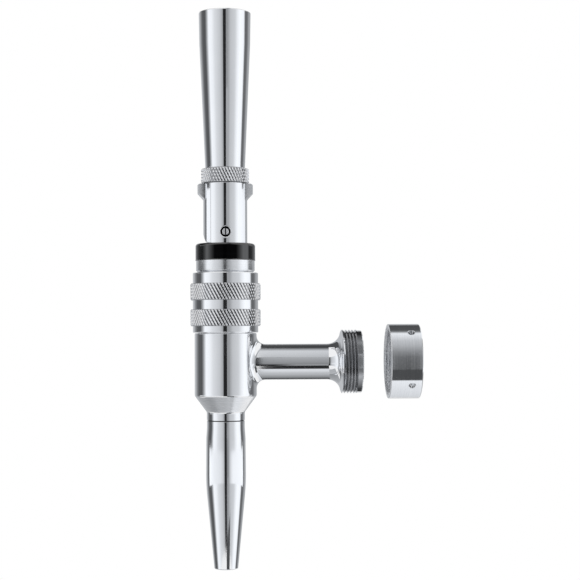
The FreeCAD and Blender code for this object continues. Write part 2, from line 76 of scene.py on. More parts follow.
onFaucet = Matrix.Translation((axisX * mm, 0, 0)) @ Matrix.Scale(mm, 4)
onArm = Matrix(((0, 0, mm, 0), (mm, 0, 0, 0), (0, mm, 0, 0), (0, 0, 0, 1)))  # its local Z runs along +X


# Across the faucet at a height: its local Z runs along -Y
def acrossAt(height):
    return onFaucet @ Matrix.Translation((0, 0, height)) @ Matrix.Rotation(math.radians(90), 4, "X")


def fromAxis(spot):
    return math.hypot(spot.x, spot.y)


# Nodes and node groups

def addNode(tree, kind, **settings):
    node = tree.nodes.new("ShaderNode" + kind)
    for label, value in settings.items():
        setattr(node, label, value)
    return node


# Inputs in their order or by name, with _ for a space. Each takes a value or another node's output.
def feed(tree, node, *values, **named):
    sockets = list(zip(node.inputs, values))
    sockets += [(node.inputs[label.replace("_", " ")], value) for label, value in named.items()]
    for socket, value in sockets:
        if isinstance(value, bpy.types.NodeSocket):
            tree.links.new(value, socket)
        else:
            socket.default_value = value
    return node


def mathNode(tree, operation, *values):
    return feed(tree, addNode(tree, "Math", operation=operation), *values).outputs[0]


def mapNode(tree, value, fromLow, fromHigh, toLow=0, toHigh=1):
    return feed(tree, addNode(tree, "MapRange"), Value=value, From_Min=fromLow, From_Max=fromHigh,
                To_Min=toLow, To_Max=toHigh).outputs["Result"]


def noiseNode(tree, vector, scale, detail=2.0, rough=0.5):
    return feed(tree, addNode(tree, "TexNoise"), Vector=vector, Scale=scale, Detail=detail,
                Roughness=rough).outputs["Fac"]


def apartNode(tree, vector):
    return feed(tree, addNode(tree, "SeparateXYZ"), vector).outputs


def joinedNode(tree, *values):
    return feed(tree, addNode(tree, "CombineXYZ"), *values).outputs[0]


def scaleNode(tree, vector, scale):
    return feed(tree, addNode(tree, "VectorMath", operation="SCALE"), vector, Scale=scale).outputs[0]


def mixColours(tree, factor, low, high):
    node = feed(tree, addNode(tree, "Mix", data_type="RGBA"), factor)
    node.inputs[6].default_value = (*low, 1)
    node.inputs[7].default_value = (*high, 1)
    return node.outputs[2]


def newGroup(name, inputs, outputs):
    group = bpy.data.node_groups.new(name, "ShaderNodeTree")
    for label, kind, value in inputs:
        socket = group.interface.new_socket(name=label, in_out="INPUT", socket_type="NodeSocket" + kind)
        socket.default_value = value
    for label in outputs:
        group.interface.new_socket(name=label, in_out="OUTPUT", socket_type="NodeSocketFloat")
    return group, group.nodes.new("NodeGroupInput").outputs, group.nodes.new("NodeGroupOutput")


# Tool lines that run round a turned piece: noise stretched flat across the piece's axis
def makeTurnedLines():
    group, inside, outside = newGroup(
        "turnedLines",
        [("Along", "Float", 0.0), ("Across", "Vector", (0, 0, 0)), ("Lines per mm", "Float", 4.0),
         ("Wander", "Float", 0.03)],
        ["Height", "Mask"])
    spread = apartNode(group, scaleNode(group, inside["Across"], inside["Wander"]))
    lines = mathNode(group, "MULTIPLY", inside["Along"], inside["Lines per mm"])
    joined = joinedNode(group, *[mathNode(group, "MULTIPLY", value, 1 / mm)
                                 for value in (spread[0], spread[1], lines)])
    fine = noiseNode(group, joined, 1.0, detail=3.0, rough=0.6)
    broad = noiseNode(group, joined, 0.21, detail=1.0)
    both = mathNode(group, "ADD", *[mathNode(group, "MULTIPLY", noise, share)
                                    for noise, share in ((fine, 0.7), (broad, 0.3))])
    feed(group, outside, Height=both, Mask=mapNode(group, both, 0.35, 0.65))
    return group


# The faint unevenness of hand polishing: a soft haze and a few hairline scratches
def makePolishHaze():
    group, inside, outside = newGroup(
        "polishHaze",
        [("Place", "Vector", (0, 0, 0)), ("Low", "Float", 0.05), ("High", "Float", 0.1)],
        ["Roughness", "Tint"])
    cloud = noiseNode(group, inside["Place"], 70.0, detail=3.0)
    stretch = feed(group, addNode(group, "Mapping"), Vector=inside["Place"], Scale=(2600, 2600, 60),
                   Rotation=(0.35, 0.2, 0))
    scratch = mapNode(group, noiseNode(group, stretch.outputs[0], 1.0), 0.66, 0.72)
    span = mathNode(group, "SUBTRACT", inside["High"], inside["Low"])
    blur = mathNode(group, "MULTIPLY_ADD", mapNode(group, cloud, 0.35, 0.7), span, inside["Low"])
    feed(group, outside, Roughness=mathNode(group, "MULTIPLY_ADD", scratch, 0.03, blur), Tint=cloud)
    return group


# Fine grain of moulded or pressed parts
def makeMouldGrain():
    group, inside, outside = newGroup(
        "mouldGrain", [("Place", "Vector", (0, 0, 0)), ("Grains per mm", "Float", 3.0)], ["Height", "Mask"])
    scale = mathNode(group, "MULTIPLY", inside["Grains per mm"], 1 / mm)
    grain = noiseNode(group, scaleNode(group, inside["Place"], scale), 1.0, detail=4.0, rough=0.65)
    cloud = noiseNode(group, inside["Place"], 160.0)
    feed(group, outside, Height=grain, Mask=mapNode(group, cloud, 0.3, 0.7))
    return group


groups = {"lines": makeTurnedLines(), "haze": makePolishHaze(), "grain": makeMouldGrain()}
print("shader groups made:", ", ".join(group.name for group in groups.values()))


# Materials

def plainMaterial(name):
    material = bpy.data.materials.new(name)
    material.use_nodes = True
    return material, material.node_tree, material.node_tree.nodes["Principled BSDF"]


def newMaterial(name):
    material, tree, shader = plainMaterial(name)
    return material, tree, shader, addNode(tree, "TexCoord").outputs["Object"]


def groupNode(tree, group, **values):
    return feed(tree, addNode(tree, "Group", node_tree=groups[group]), **values).outputs


def linesAlong(tree, place, axis, perMm):
    apart = apartNode(tree, place)
    across = joinedNode(tree, *[apart[i] for i in range(3) if i != axis])
    return groupNode(tree, "lines", Along=apart[axis], Across=across, Lines_per_mm=perMm)


# What changes over the surface: its colour, its roughness and the height of its bumps, in metres
def dress(tree, shader, colour, rough, height, bump):
    raised = feed(tree, addNode(tree, "Bump"), Strength=1.0, Distance=bump, Height=height)
    feed(tree, shader, Base_Color=colour, Roughness=rough, Normal=raised.outputs[0])


polish = {"low": (0.84, 0.85, 0.87), "high": (0.92, 0.925, 0.935), "haze": (0.045, 0.085), "perMm": 5.0,
          "lines": 1.0e-7}


def polishedSteel(name, axis):
    material, tree, shader, place = newMaterial(name)
    low, high = polish["haze"]
    haze = groupNode(tree, "haze", Place=place, Low=low, High=high)
    turned = linesAlong(tree, place, axis, polish["perMm"])
    feed(tree, shader, Metallic=1.0)
    dress(tree, shader, mixColours(tree, haze["Tint"], polish["low"], polish["high"]), haze["Roughness"],
          turned["Height"], polish["lines"])
    return material


turnedFinish = {"low": (0.80, 0.81, 0.83), "high": (0.90, 0.905, 0.915), "rough": (0.14, 0.24)}


def turnedSteel(name, axis, perMm, lines, **changes):
    finish = {**turnedFinish, **changes}
    material, tree, shader, place = newMaterial(name)
    turned = linesAlong(tree, place, axis, perMm)
    feed(tree, shader, Metallic=1.0)
    dress(tree, shader, mixColours(tree, turned["Mask"], finish["low"], finish["high"]),
          mapNode(tree, turned["Mask"], 0, 1, *finish["rough"]), turned["Height"], lines)
    return material


# the low colour is painted shade for the knurl's grooves, and the high one is the steel of its tops
knurlFinishAndShade = {"low": (0.34, 0.345, 0.36), "high": (0.88, 0.885, 0.90), "rough": (0.12, 0.2), "topDrop": 0.06,
               "grainsPerMm": 6.0, "bump": 8.0e-7}


# Painted shade on the knurl: the colour is bright on the knurl's tops and darker down in its grooves, by the
# distance from the faucet's axis
def knurlGrooveShadedSteel(name, radius, deep):
    finish = SimpleNamespace(**knurlFinishAndShade)
    material, tree, shader, place = newMaterial(name)
    grain = groupNode(tree, "grain", Place=place, Grains_per_mm=finish.grainsPerMm)
    apart = apartNode(tree, place)
    across = mathNode(tree, "ADD", apart[0], -axisX * mm)
    squares = mathNode(tree, "MULTIPLY_ADD", across, across, mathNode(tree, "MULTIPLY", apart[1], apart[1]))
    out = mathNode(tree, "SQRT", squares)
    # painted shade: a mask that darkens the colour from the knurl's tops down into its grooves
    top = mapNode(tree, out, (radius - deep) * mm, (radius - finish.topDrop) * mm)
    feed(tree, shader, Metallic=1.0)
    dress(tree, shader, mixColours(tree, top, finish.low, finish.high),
          mapNode(tree, grain["Mask"], 0, 1, *finish.rough), grain["Height"], finish.bump)
    return material


def mouldedMaterial(name, low, high, rough, grainsPerMm, bump, metallic=0.0):
    material, tree, shader, place = newMaterial(name)
    grain = groupNode(tree, "grain", Place=place, Grains_per_mm=grainsPerMm)
    feed(tree, shader, Metallic=metallic)
    dress(tree, shader, mixColours(tree, grain["Mask"], low, high), mapNode(tree, grain["Mask"], 0, 1, *rough),
          grain["Height"], bump)
    return material


acetal = {"low": (0.0006, 0.0006, 0.0008), "high": (0.0016, 0.0016, 0.002), "rough": (0.03, 0.05), "perMm": 5.0,
          "lines": 5.0e-7, "ior": 1.55, "gloss": 1.0, "dull": 0.03, "facing": (0.07, 0.2)}


# Dull where it faces the eye and glossy towards its sides, as turned black plastic is
def blackAcetal():
    material, tree, shader, place = newMaterial("blackAcetal")
    turned = linesAlong(tree, place, 2, acetal["perMm"])
    dull = addNode(tree, "BsdfPrincipled")
    feed(tree, shader, IOR=acetal["ior"], Specular_IOR_Level=acetal["gloss"])
    feed(tree, dull, Specular_IOR_Level=acetal["dull"])
    colour = mixColours(tree, turned["Mask"], acetal["low"], acetal["high"])
    rough = mapNode(tree, turned["Mask"], 0, 1, *acetal["rough"])
    for side in (shader, dull):
        dress(tree, side, colour, rough, turned["Height"], acetal["lines"])
    facing = feed(tree, addNode(tree, "LayerWeight"), Blend=0.5).outputs["Facing"]
    blend = feed(tree, addNode(tree, "MixShader"), mapNode(tree, facing, *acetal["facing"]), dull.outputs[0],
                 shader.outputs[0])
    feed(tree, tree.nodes["Material Output"], Surface=blend.outputs[0])
    return material


materials = {
    "polishedUp": polishedSteel("polishedSteelUpright", 2),
    "turnedUp": turnedSteel("turnedSteelUpright", 2, 7.0, 1.6e-6),
    "knurledNut": knurlGrooveShadedSteel("knurledNutSteelGrooveShade", radius=15.75, deep=0.4),
    "knurledCollar": knurlGrooveShadedSteel("knurledCollarSteelGrooveShade", radius=10.8, deep=0.45),
    "housing": turnedSteel("turnedHousingSteel", 2, 7.0, 1.0e-6, rough=(0.16, 0.24)),
    "nut": turnedSteel("turnedNutSteel", 0, 6.0, 2.5e-7, rough=(0.05, 0.09)),
    "nutBore": turnedSteel("threadedNutSteel", 0, 6.0, 8.0e-7, rough=(0.34, 0.42)),
    "pinEnd": turnedSteel("facedPinSteel", 2, 7.0, 8.0e-7, rough=(0.36, 0.46)),
    "rim": turnedSteel("roundedRimSteel", 2, 7.0, 4.0e-7, rough=(0.42, 0.5)),
    "cone": turnedSteel("turnedConeSteel", 2, 5.0, 8.0e-8, rough=(0.24, 0.28)),
    # painted shade: a dark colour for the thread's flanks and roots, where shade falls between the crests
    "thread": turnedSteel("threadGrooveShadeSteel", 0, 7.0, 6.0e-7, low=(0.2, 0.202, 0.21), high=(0.3, 0.302, 0.31)),
    "ear": turnedSteel("brushedEarSteel", 2, 5.0, 8.0e-8, rough=(0.2, 0.25)),
    # painted shade: near-black colour for faces down in the pivot socket, the pin's slot and the spout's joint
    # gap
    "shade": turnedSteel("paintedShadeSteel", 2, 7.0, 6.0e-7, low=(0.015, 0.015, 0.017), high=(0.035, 0.035, 0.038),
                         rough=(0.45, 0.55)),
    "acetal": blackAcetal(),
    "white": mouldedMaterial("whitePlastic", (0.74, 0.74, 0.71), (0.82, 0.82, 0.8), (0.38, 0.5), 3.0, 4e-6),
    "rubber": mouldedMaterial("sealRubber", (0.012, 0.012, 0.012), (0.03, 0.03, 0.03), (0.55, 0.75), 5.0, 6e-6),
    "bronze": mouldedMaterial("sinteredBronze", (0.45, 0.29, 0.14), (0.64, 0.44, 0.23), (0.3, 0.45), 8.0, 5e-6,
                              1.0),
    "spring": mouldedMaterial("springWire", (0.42, 0.43, 0.45), (0.6, 0.61, 0.63), (0.25, 0.35), 4.0, 2e-6, 1.0),
}
print("materials made:", len(materials))


# Profiles. A corner is (radius, height, rounding) in millimetres, and an edge of a
# worked-out profile is (start, end, normal at the start, normal at the end).

def turnOf(outline):
    return 1 if sum(a[0] * b[1] - a[1] * b[0] for a, b in zip(outline, outline[1:] + outline[:1])) > 0 else -1


def roundedEdges(corners, closed=True, arcStep=8.0):
    flat = [np.array(corner[:2], float) for corner in corners]
    count = len(flat)
    side = turnOf(flat)
    arcs = []
    for i, corner in enumerate(corners):
        rounding = corner[2] if len(corner) > 2 else 0
        here = flat[i]
        if rounding <= 0:
            arcs.append([(here, None)])
            continue
        back = flat[i - 1] - here
        ahead = flat[(i + 1) % count] - here
        back = back / np.linalg.norm(back)
        ahead = ahead / np.linalg.norm(ahead)
        half = math.acos(max(-1.0, min(1.0, float(back @ ahead)))) / 2
        middle = here + (back + ahead) / np.linalg.norm(back + ahead) * rounding / math.sin(half)
        first = here + back * rounding / math.tan(half) - middle
        last = here + ahead * rounding / math.tan(half) - middle
        turn = math.pi - 2 * half
        steps = max(3, math.ceil(math.degrees(turn) / arcStep))
        spin = math.copysign(1, first[0] * last[1] - first[1] * last[0])
        start = math.atan2(first[1], first[0])
        angles = [start + spin * turn * k / steps for k in range(steps + 1)]
        rays = [np.array([math.cos(angle), math.sin(angle)]) for angle in angles]
        arcs.append([(middle + rounding * ray, ray) for ray in rays])
    edges = []
    for i in range(count if closed else count - 1):
        for (start, startRay), (end, endRay) in zip(arcs[i], arcs[i][1:]):
            run = end - start
            sign = 1 if side * (run[1] * startRay[0] - run[0] * startRay[1]) > 0 else -1
            edges.append((start, end, sign * startRay, sign * endRay))
        start = arcs[i][-1][0]
        end = arcs[(i + 1) % count][0][0]
        run = end - start
        length = np.linalg.norm(run)
        if length > 1e-7:
            normal = side * np.array([run[1], -run[0]]) / length
            edges.append((start, end, normal, normal))
    return edges


# Shells: welded points and faces in millimetres, with a normal at each corner of each face

def newShell():
    return SimpleNamespace(points=[], found={}, faces=[], normals=[])


def addPoint(shell, point):
    key = tuple(round(float(c), 4) for c in point)
    if key not in shell.found:
        shell.found[key] = len(shell.points)
        shell.points.append(tuple(float(c) for c in point))
    return shell.found[key]


def addFace(shell, points, normals=None):
    ids = [addPoint(shell, point) for point in points]
    keep = [k for k in range(len(ids)) if ids[k] != ids[k - 1]]
    ids = [ids[k] for k in keep]
    if len(ids) < 3 or len(set(ids)) < len(ids):
        return
    first, *others = [Vector(shell.points[i]) for i in ids]
    across = (others[0] - first).cross(others[1] - first)
    if len(ids) == 4:
        across += (others[1] - first).cross(others[2] - first)
    if across.length < 1e-9:
        return
    if normals is None:
        normals = [across.normalized()] * len(ids)
    else:
        normals = [Vector(normals[k]) for k in keep]
        if across.dot(sum(normals, Vector((0, 0, 0)))) < 0:
            ids.reverse()
            normals.reverse()
    shell.faces.append(ids)
    shell.normals.append(normals)


def bridge(shell, low, high, lowNormals, highNormals, closed=True):
    count = len(low)
    for j in range(count if closed else count - 1):
        k = (j + 1) % count
        addFace(shell, [low[j], low[k], high[k], high[j]],
                [lowNormals[j], lowNormals[k], highNormals[k], highNormals[j]])


def aroundAxis(columns):
    return np.arange(columns) * 2 * math.pi / columns


# The radius and the height are one number, or a number for each angle
def ringAt(angles, radius, height):
    return np.column_stack([radius * np.cos(angles), radius * np.sin(angles), np.zeros(len(angles)) + height])


def bridgeEdge(shell, edge, angles):
    bridge(shell, *[ringAt(angles, *pair) for pair in edge])


def turnedShell(corners, columns=128):
    shell = newShell()
    for edge in roundedEdges(corners):
        bridgeEdge(shell, edge, aroundAxis(columns))
    return shell


def addObject(name, data):
    item = bpy.data.objects.new(name, data)
    bpy.context.scene.collection.objects.link(item)
    return item


def pieceFrom(name, shell, place):
    mesh = bpy.data.meshes.new(name)
    mesh.from_pydata(shell.points, [], shell.faces)
    mesh.transform(place)
    turn = place.to_3x3().normalized()
    mesh.shade_smooth()
    mesh.normals_split_custom_set([(turn @ n).normalized() for corners in shell.normals for n in corners])
    return addObject(name, mesh)


def finishPiece(piece, body, slot, material, *standsFor):
    piece.data.materials.clear()
    piece.data.materials.append(materials[material])
    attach(piece, body)
    if standsFor:
        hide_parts(*standsFor)
    print("made", piece.name, "with", len(piece.data.polygons), "faces")


def turnedPiece(name, corners, body, slot, material, node, place=onFaucet, columns=128):
    piece = pieceFrom(name, turnedShell(corners, columns), place)
    finishPiece(piece, body, slot, material, node)
    return piece


# Another material on the faces whose centres, in millimetres about a piece's own axis, pass the test
def paintFaces(piece, material, place, passes):
    piece.data.materials.append(materials[material])
    index = len(piece.data.materials) - 1
    back = place.inverted()
    painted = 0
    for polygon in piece.data.polygons:
        if passes(back @ polygon.center, polygon.normal):
            polygon.material_index = index
            painted += 1
    print("painted", painted, "faces of", piece.name, "with", material)


# Exact booleans, with the turned normals carried over from the pieces to what is left of them

def normalSource(piece):
    mesh = piece.data
    points = [v.co.copy() for v in mesh.vertices]
    polygons = [list(p.vertices) for p in mesh.polygons]
    corners = [[mesh.corner_normals[i].vector.copy() for i in p.loop_indices] for p in mesh.polygons]
    return BVHTree.FromPolygons(points, polygons), points, polygons, corners


def carryNormals(mesh, sources):
    mesh.shade_smooth()
    normals = [Vector((0, 0, 0))] * len(mesh.loops)
    for polygon in mesh.polygons:
        nearest = None
        for tree, points, polygons, corners in sources:
            spot, normal, index, distance = tree.find_nearest(polygon.center)
            if spot is None or abs(normal.dot(polygon.normal)) < 0.9:
                continue
            if nearest is None or distance < nearest[0]:
                side = 1 if normal.dot(polygon.normal) > 0 else -1
                nearest = (distance, side, [points[i] for i in polygons[index]], corners[index])
        if nearest is None:
            continue
        distance, side, outline, cornerNormals = nearest
        for loop in polygon.loop_indices:
            weights = poly_3d_calc(outline, mesh.vertices[mesh.loops[loop].vertex_index].co)
            blended = sum((w * n for w, n in zip(weights, cornerNormals)), Vector((0, 0, 0)))
            normals[loop] = (side * blended).normalized()
    mesh.normals_split_custom_set(normals)


def cutPiece(piece, steps):
    for operation, tool in steps:
        modifier = piece.modifiers.new(operation, "BOOLEAN")
        modifier.operation = operation
        modifier.solver = "EXACT"
        modifier.object = tool
    bpy.context.view_layer.update()
    graph = bpy.context.evaluated_depsgraph_get()
    result = bpy.data.meshes.new_from_object(piece.evaluated_get(graph))
    carryNormals(result, [normalSource(piece)] + [normalSource(tool) for operation, tool in steps])
    piece.modifiers.clear()
    piece.data = result
    for operation, tool in steps:
        bpy.data.objects.remove(tool)
    return piece


# A bar of any outline for cutting with: points (x, z) in millimetres, from low to high along Y
def prism(name, outline, low, high, place=onFaucet):
    shell = newShell()
    near, far = [[(x, y, z) for x, z in outline] for y in (low, high)]
    count = len(outline)
    side = turnOf(outline)
    for i in range(count):
        k = (i + 1) % count
        out = side * Vector((outline[k][1] - outline[i][1], 0, outline[i][0] - outline[k][0])).normalized()
        addFace(shell, [near[i], near[k], far[k], far[i]], [out] * 4)
    addFace(shell, near, [Vector((0, -1, 0))] * count)
    addFace(shell, far, [Vector((0, 1, 0))] * count)
    return pieceFrom(name, shell, place)


def barShell(radius, low, high, columns):
    return turnedShell([(0, low), (radius, low), (radius, high), (0, high)], columns)


# Diamond knurl

perGroove = 8
grooveHalf = 0.375  # share of the way from one groove to the next


# A straight band whose radius follows two crossing sets of V grooves on a lattice of eight columns to
# each groove, so that grooves and flat tops run along the lattice. Flat rings close it down to the land.
def knurlBand(shell, low, high, radius, land, form):
    count = perGroove * form.starts
    angles = aroundAxis(count)
    column = np.arange(count)
    rings = []
    for row in range(form.rows + 1):
        z = low + (high - low) * row / form.rows
        deep = np.zeros(count)
        for slant, depth in zip((1, -1), form.depths):
            phase = ((column + slant * row) % perGroove) / perGroove
            nearness = np.minimum(phase, 1 - phase)  # 0 in the groove's floor
            deep = np.maximum(deep, depth * np.clip(1 - nearness / grooveHalf, 0, 1))
        limit = radius - max(0.0, form.edge - min(z - low, high - z))
        radii = np.minimum(radius - deep, limit)
        rings.append((radii, ringAt(angles, radii, z)))
    for (lowR, lowRing), (highR, highRing) in zip(rings, rings[1:]):
        for j in range(count):
            k = (j + 1) % count
            a, b, c, d = lowRing[j], lowRing[k], highRing[k], highRing[j]
            alongAC = (round(abs(lowR[j] - highR[k]), 4), lowR[j] + highR[k])
            alongBD = (round(abs(lowR[k] - highR[j]), 4), lowR[k] + highR[j])
            for corners in (((a, b, c), (a, c, d)) if alongAC <= alongBD else ((a, b, d), (b, c, d))):
                addFace(shell, corners)
    for (radii, ring), height, up in ((rings[0], low, -1), (rings[-1], high, 1)):
        normals = [Vector((0, 0, up))] * count
        bridge(shell, ringAt(angles, land, height), ringAt(angles, radii, height), normals, normals)


# Screw thread, as rows that climb one pitch in a turn, with run-outs at both ends.
# side 1 is an outside thread cut inwards, and -1 an inside thread cut outwards.
threadShares = {"crest": 0.0625, "floor": 0.0833}  # half of each one's width, in pitches


def threadRows(shell, angles, start, end, radius, form, side):
    crest, floor = threadShares["crest"], threadShares["floor"]
    places = [(crest, 0), (0.5 - floor, 1), (0.5 + floor, 1), (1 - crest, 0)]
    climb = (angles - angles[0]) / (2 * math.pi)
    rows = []
    for turn in range(math.ceil((end - start) / form.pitch) + 3):
        for share, groove in places:
            x = np.clip(start + (turn - 2 + share + climb) * form.pitch, start, end)
            ease = np.clip((x - start) / form.runOut, 0, 1) * np.clip((end - x) / form.runOut, 0, 1)
            r = radius - side * form.depth * groove * ease
            rows.append((x, r, ringAt(angles, r, x)))
    count = len(angles)
    for i in range(len(rows) - 5):
        for j in range(count):
            wrap = 4 if j == count - 1 else 0
            k = (j + 1) % count
            corners = [(i, j), (i + wrap, k), (i + 1 + wrap, k), (i + 1, j)]
            normals = []
            for (row, column), base in zip(corners, (i, i + wrap, i + wrap, i)):
                run, rise = [rows[base + 1][part][column] - rows[base][part][column] for part in (0, 1)]
                out = Vector((run, -rise)) if run * run + rise * rise > 1e-12 else Vector((1, 0))
                out = side * out.normalized()
                angle = angles[column]
                normals.append(Vector((out.x * math.cos(angle), out.x * math.sin(angle), out.y)))
            addFace(shell, [rows[row][2][column] for row, column in corners], normals)


# Handle

handleForm = {"footRadius": 8.9, "footEdge": 0.45, "shoulderDrop": 14.0, "shoulderRadius": 11.45,
              "topRadius": 11.7, "topEdge": 0.4, "blend": 60.0, "bore": 4.86, "boreDepth": 17.0,
              "columns": 160}


def makeHandle():
    form = SimpleNamespace(**handleForm)
    low, high = heights("handle")
    corners = [
        (form.bore, low),
        (form.footRadius, low, form.footEdge),
        (form.shoulderRadius, high - form.shoulderDrop, form.blend),
        (form.topRadius, high, form.topEdge),
        (0, high),
        (0, low + form.boreDepth),
        (form.bore, low + form.boreDepth)]
    turnedPiece("pullHandle", corners, "lever", "polished_steel", "polishedUp", "handle", columns=form.columns)


# Knurled collar

collarForm = {"starts": 48, "rows": 18, "depths": (0.5, 0.3), "edge": 0.4, "bore": 4.86}


def makeCollar():
    form = SimpleNamespace(**collarForm)
    low, high = heights("lock_collar")
    shell = newShell()
    knurlBand(shell, low, high, halfWidth("lock_collar"), form.bore, form)
    angles = aroundAxis(perGroove * form.starts)
    inward = ringAt(angles, -1, 0)
    bridge(shell, ringAt(angles, form.bore, low), ringAt(angles, form.bore, high), inward, inward)
    finishPiece(pieceFrom("knurledCollar", shell, onFaucet), "lever", "knurled_steel", "knurledCollar",
                "lock_collar")


# Lever with its two ears, cam foot, tongue slot and pivot hole

leverForm = {"edge": 0.55, "topBore": 4.86, "boreDepth": 14.0, "pinRise": 4.8, "pull": 30.0, "camRate": 5.67,
             "camSteps": 14, "reliefRise": 1.4, "reliefBulge": 0.3, "reliefSteps": 10, "reliefPast": 0.2,
             "radius": 9.88, "earReach": 12.46, "earHeight": 4.35, "earDrop": 0.45, "earInner": 8.6,
             "earTaper": 2.85, "earEdge": 0.6, "earBlend": 3.0, "earThick": 4.4, "earSwell": 7.0,
             "earCorner": 0.7, "earStart": 0.03, "slotHalf": 2.4, "slotRound": 4.2, "slotSteps": 18,
             "pinHole": 1.6, "pinCheek": 2.2, "pinSocket": 2.3, "socketBevel": 0.6, "pinGrip": 5.6,
             "earSteps": 13, "cornerSteps": 7, "columns": 160, "boreColumns": 64, "holeColumns": 48}


# The cam foot is an involute, and a bulging relief leads from it up to the lever's back
def camOutline(form, low):
    pin = low + form.pinRise
    points = []
    for turn in math.radians(form.pull) * np.arange(form.camSteps + 1) / form.camSteps:
        rise = form.pinRise + form.camRate * turn
        points.append((-form.camRate * math.cos(turn) - rise * math.sin(turn),
                       pin + form.camRate * math.sin(turn) - rise * math.cos(turn)))
    side = -form.radius - form.reliefPast
    end = np.array(points[-1])
    chord = np.array((side, pin + form.reliefRise)) - end
    out = np.array((-chord[1], chord[0])) / np.linalg.norm(chord)
    for share in np.arange(1, form.reliefSteps + 1) / form.reliefSteps:
        swell = 4 * share * (1 - share) * form.reliefBulge
        points.append(tuple(end + chord * share + out * swell))
    return points + [(side, low - 1), (points[0][0], low - 1)]


# An ear seen from above: its faces swell gently outwards and its corner is rounded
def earOutline(form, side):
    end, small = math.radians(form.earSwell), form.earCorner
    swell = (form.earReach - form.earInner - small * (1 - math.sin(end))) / math.sin(end)
    points = [(form.earInner + swell * math.sin(angle), form.earThick - swell * (1 - math.cos(angle)))
              for angle in np.linspace(0, end, form.earSteps)]
    x, y = points[-1]
    points += [(x + small * (math.sin(angle) - math.sin(end)), y - small * (math.cos(end) - math.cos(angle)))
               for angle in np.linspace(end, math.pi / 2, form.cornerSteps)[1:]]
    return [(side * x, y) for x, y in points] + [(side * x, -y) for x, y in reversed(points)]


# Round over the pin for the shaft's tongue, and leaning at the front for its turn
def slotOutline(form, pin):
    lean = math.radians(form.pull)
    reach = form.slotRound
    drop = form.pinRise + 1
    angles = math.pi - lean - (math.pi - lean) * np.arange(form.slotSteps + 1) / form.slotSteps
    slot = [(reach * math.cos(angle), pin + reach * math.sin(angle)) for angle in angles]
    front = slot[0][0] - (drop + reach * math.sin(lean)) * math.tan(lean)
    return slot + [(reach, pin - drop), (front, pin - drop)]


def makeLever():
    form = SimpleNamespace(**leverForm)
    radius = form.radius
    low, high = heights("lever")
    pin = low + form.pinRise
    barrel = turnedShell([(0, low), (radius, low), (radius, high, form.edge), (0, high)], form.columns)
    piece = pieceFrom("camLever", barrel, onFaucet)
    top = high - form.earDrop
    flare = top - form.earHeight
    foot = flare - form.earTaper
    ears = turnedShell([
        (0, foot - form.earBlend),
        (radius - 1, foot - form.earBlend),
        (radius, foot, form.earBlend),
        (form.earReach, flare, form.earEdge),
        (form.earReach, top, form.earEdge),
        (0, top)], form.columns)
    pair = []
    for side in (-1, 1):
        ear = pieceFrom("ear", ears, onFaucet)
        block = prism("block", earOutline(form, side), foot - form.earBlend - 1, high + 1, acrossAt(0))
        pair.append(("UNION", cutPiece(ear, [("INTERSECT", block)])))
    relief = prism("relief", camOutline(form, low), -2 * radius, 2 * radius)
    slot = prism("slot", slotOutline(form, pin), -form.slotHalf, form.slotHalf)
    bore = barShell(form.topBore, high - form.boreDepth, high + 1, form.boreColumns)
    bore = pieceFrom("bore", bore, onFaucet)
    cheek = form.slotHalf + form.pinCheek
    bevel = form.socketBevel
    socket = turnedShell([
        (0, cheek),
        (form.pinSocket, cheek),
        (form.pinSocket, radius - bevel),
        (form.pinSocket + 2 * bevel, radius + bevel),
        (0, radius + bevel)], form.boreColumns)
    socket = pieceFrom("socket", socket, acrossAt(pin))
    hole = barShell(form.pinHole, -form.slotHalf - form.pinGrip, cheek + 1, form.holeColumns)
    hole = pieceFrom("hole", hole, acrossAt(pin))
    holes = [("DIFFERENCE", tool) for tool in (slot, bore, hole, socket)]
    cutPiece(piece, [("DIFFERENCE", relief)] + pair + holes)
    finishPiece(piece, "lever", "polished_steel", "polishedUp", "lever")

    def pastSocket(spot):
        return math.hypot(spot.x, spot.z - pin) - form.pinSocket

    paintFaces(piece, "shade", onFaucet, lambda spot, normal: (
        abs(spot.y) > cheek - slack and pastSocket(spot) < slack))
    paintFaces(piece, "rim", onFaucet, lambda spot, normal: (
        abs(spot.y) > cheek and slack < pastSocket(spot) < 1.5 * bevel
        and fromAxis(spot) < radius - form.earStart))
    paintFaces(piece, "ear", onFaucet, lambda spot, normal: fromAxis(spot) > radius + form.earStart)


# Slotted pivot pin in the lever's socket

pinForm = {"radius": 1.52, "edge": 0.26, "slotWidth": 0.55, "slotDepth": 0.6, "columns": 64}


def makePivotPin():
    form = SimpleNamespace(**pinForm)
    low, high = boxMm("pivot_screw")
    middle = (low.z + high.z) / 2
    corners = [(0, -high.y), (form.radius, -high.y), (form.radius, -low.y, form.edge), (0, -low.y)]
    piece = pieceFrom("slottedPin", turnedShell(corners, form.columns), acrossAt(middle))
    half = form.slotWidth / 2
    foot, head = middle - 2 * form.radius, middle + 2 * form.radius
    outline = [(-half, foot), (half, foot), (half, head), (-half, head)]
    cutPiece(piece, [("DIFFERENCE", prism("screwSlot", outline, low.y - 1, low.y + form.slotDepth))])
    finishPiece(piece, "lever", "brushed_steel", "pinEnd", "pivot_screw")
    paintFaces(piece, "shade", onFaucet, lambda spot, normal: (
        abs(spot.x) < half + slack and slack < spot.y - low.y < form.slotDepth + slack))


# Cam cap and spring housing

capForm = {"lipRadius": 13.58, "lipHeight": 0.35, "lipEdge": 0.08, "radius": 13.4, "edge": 1.3, "bore": 4.3,
           "boreEdge": 0.3, "spigot": 8.0, "spigotDepth": 0.9}


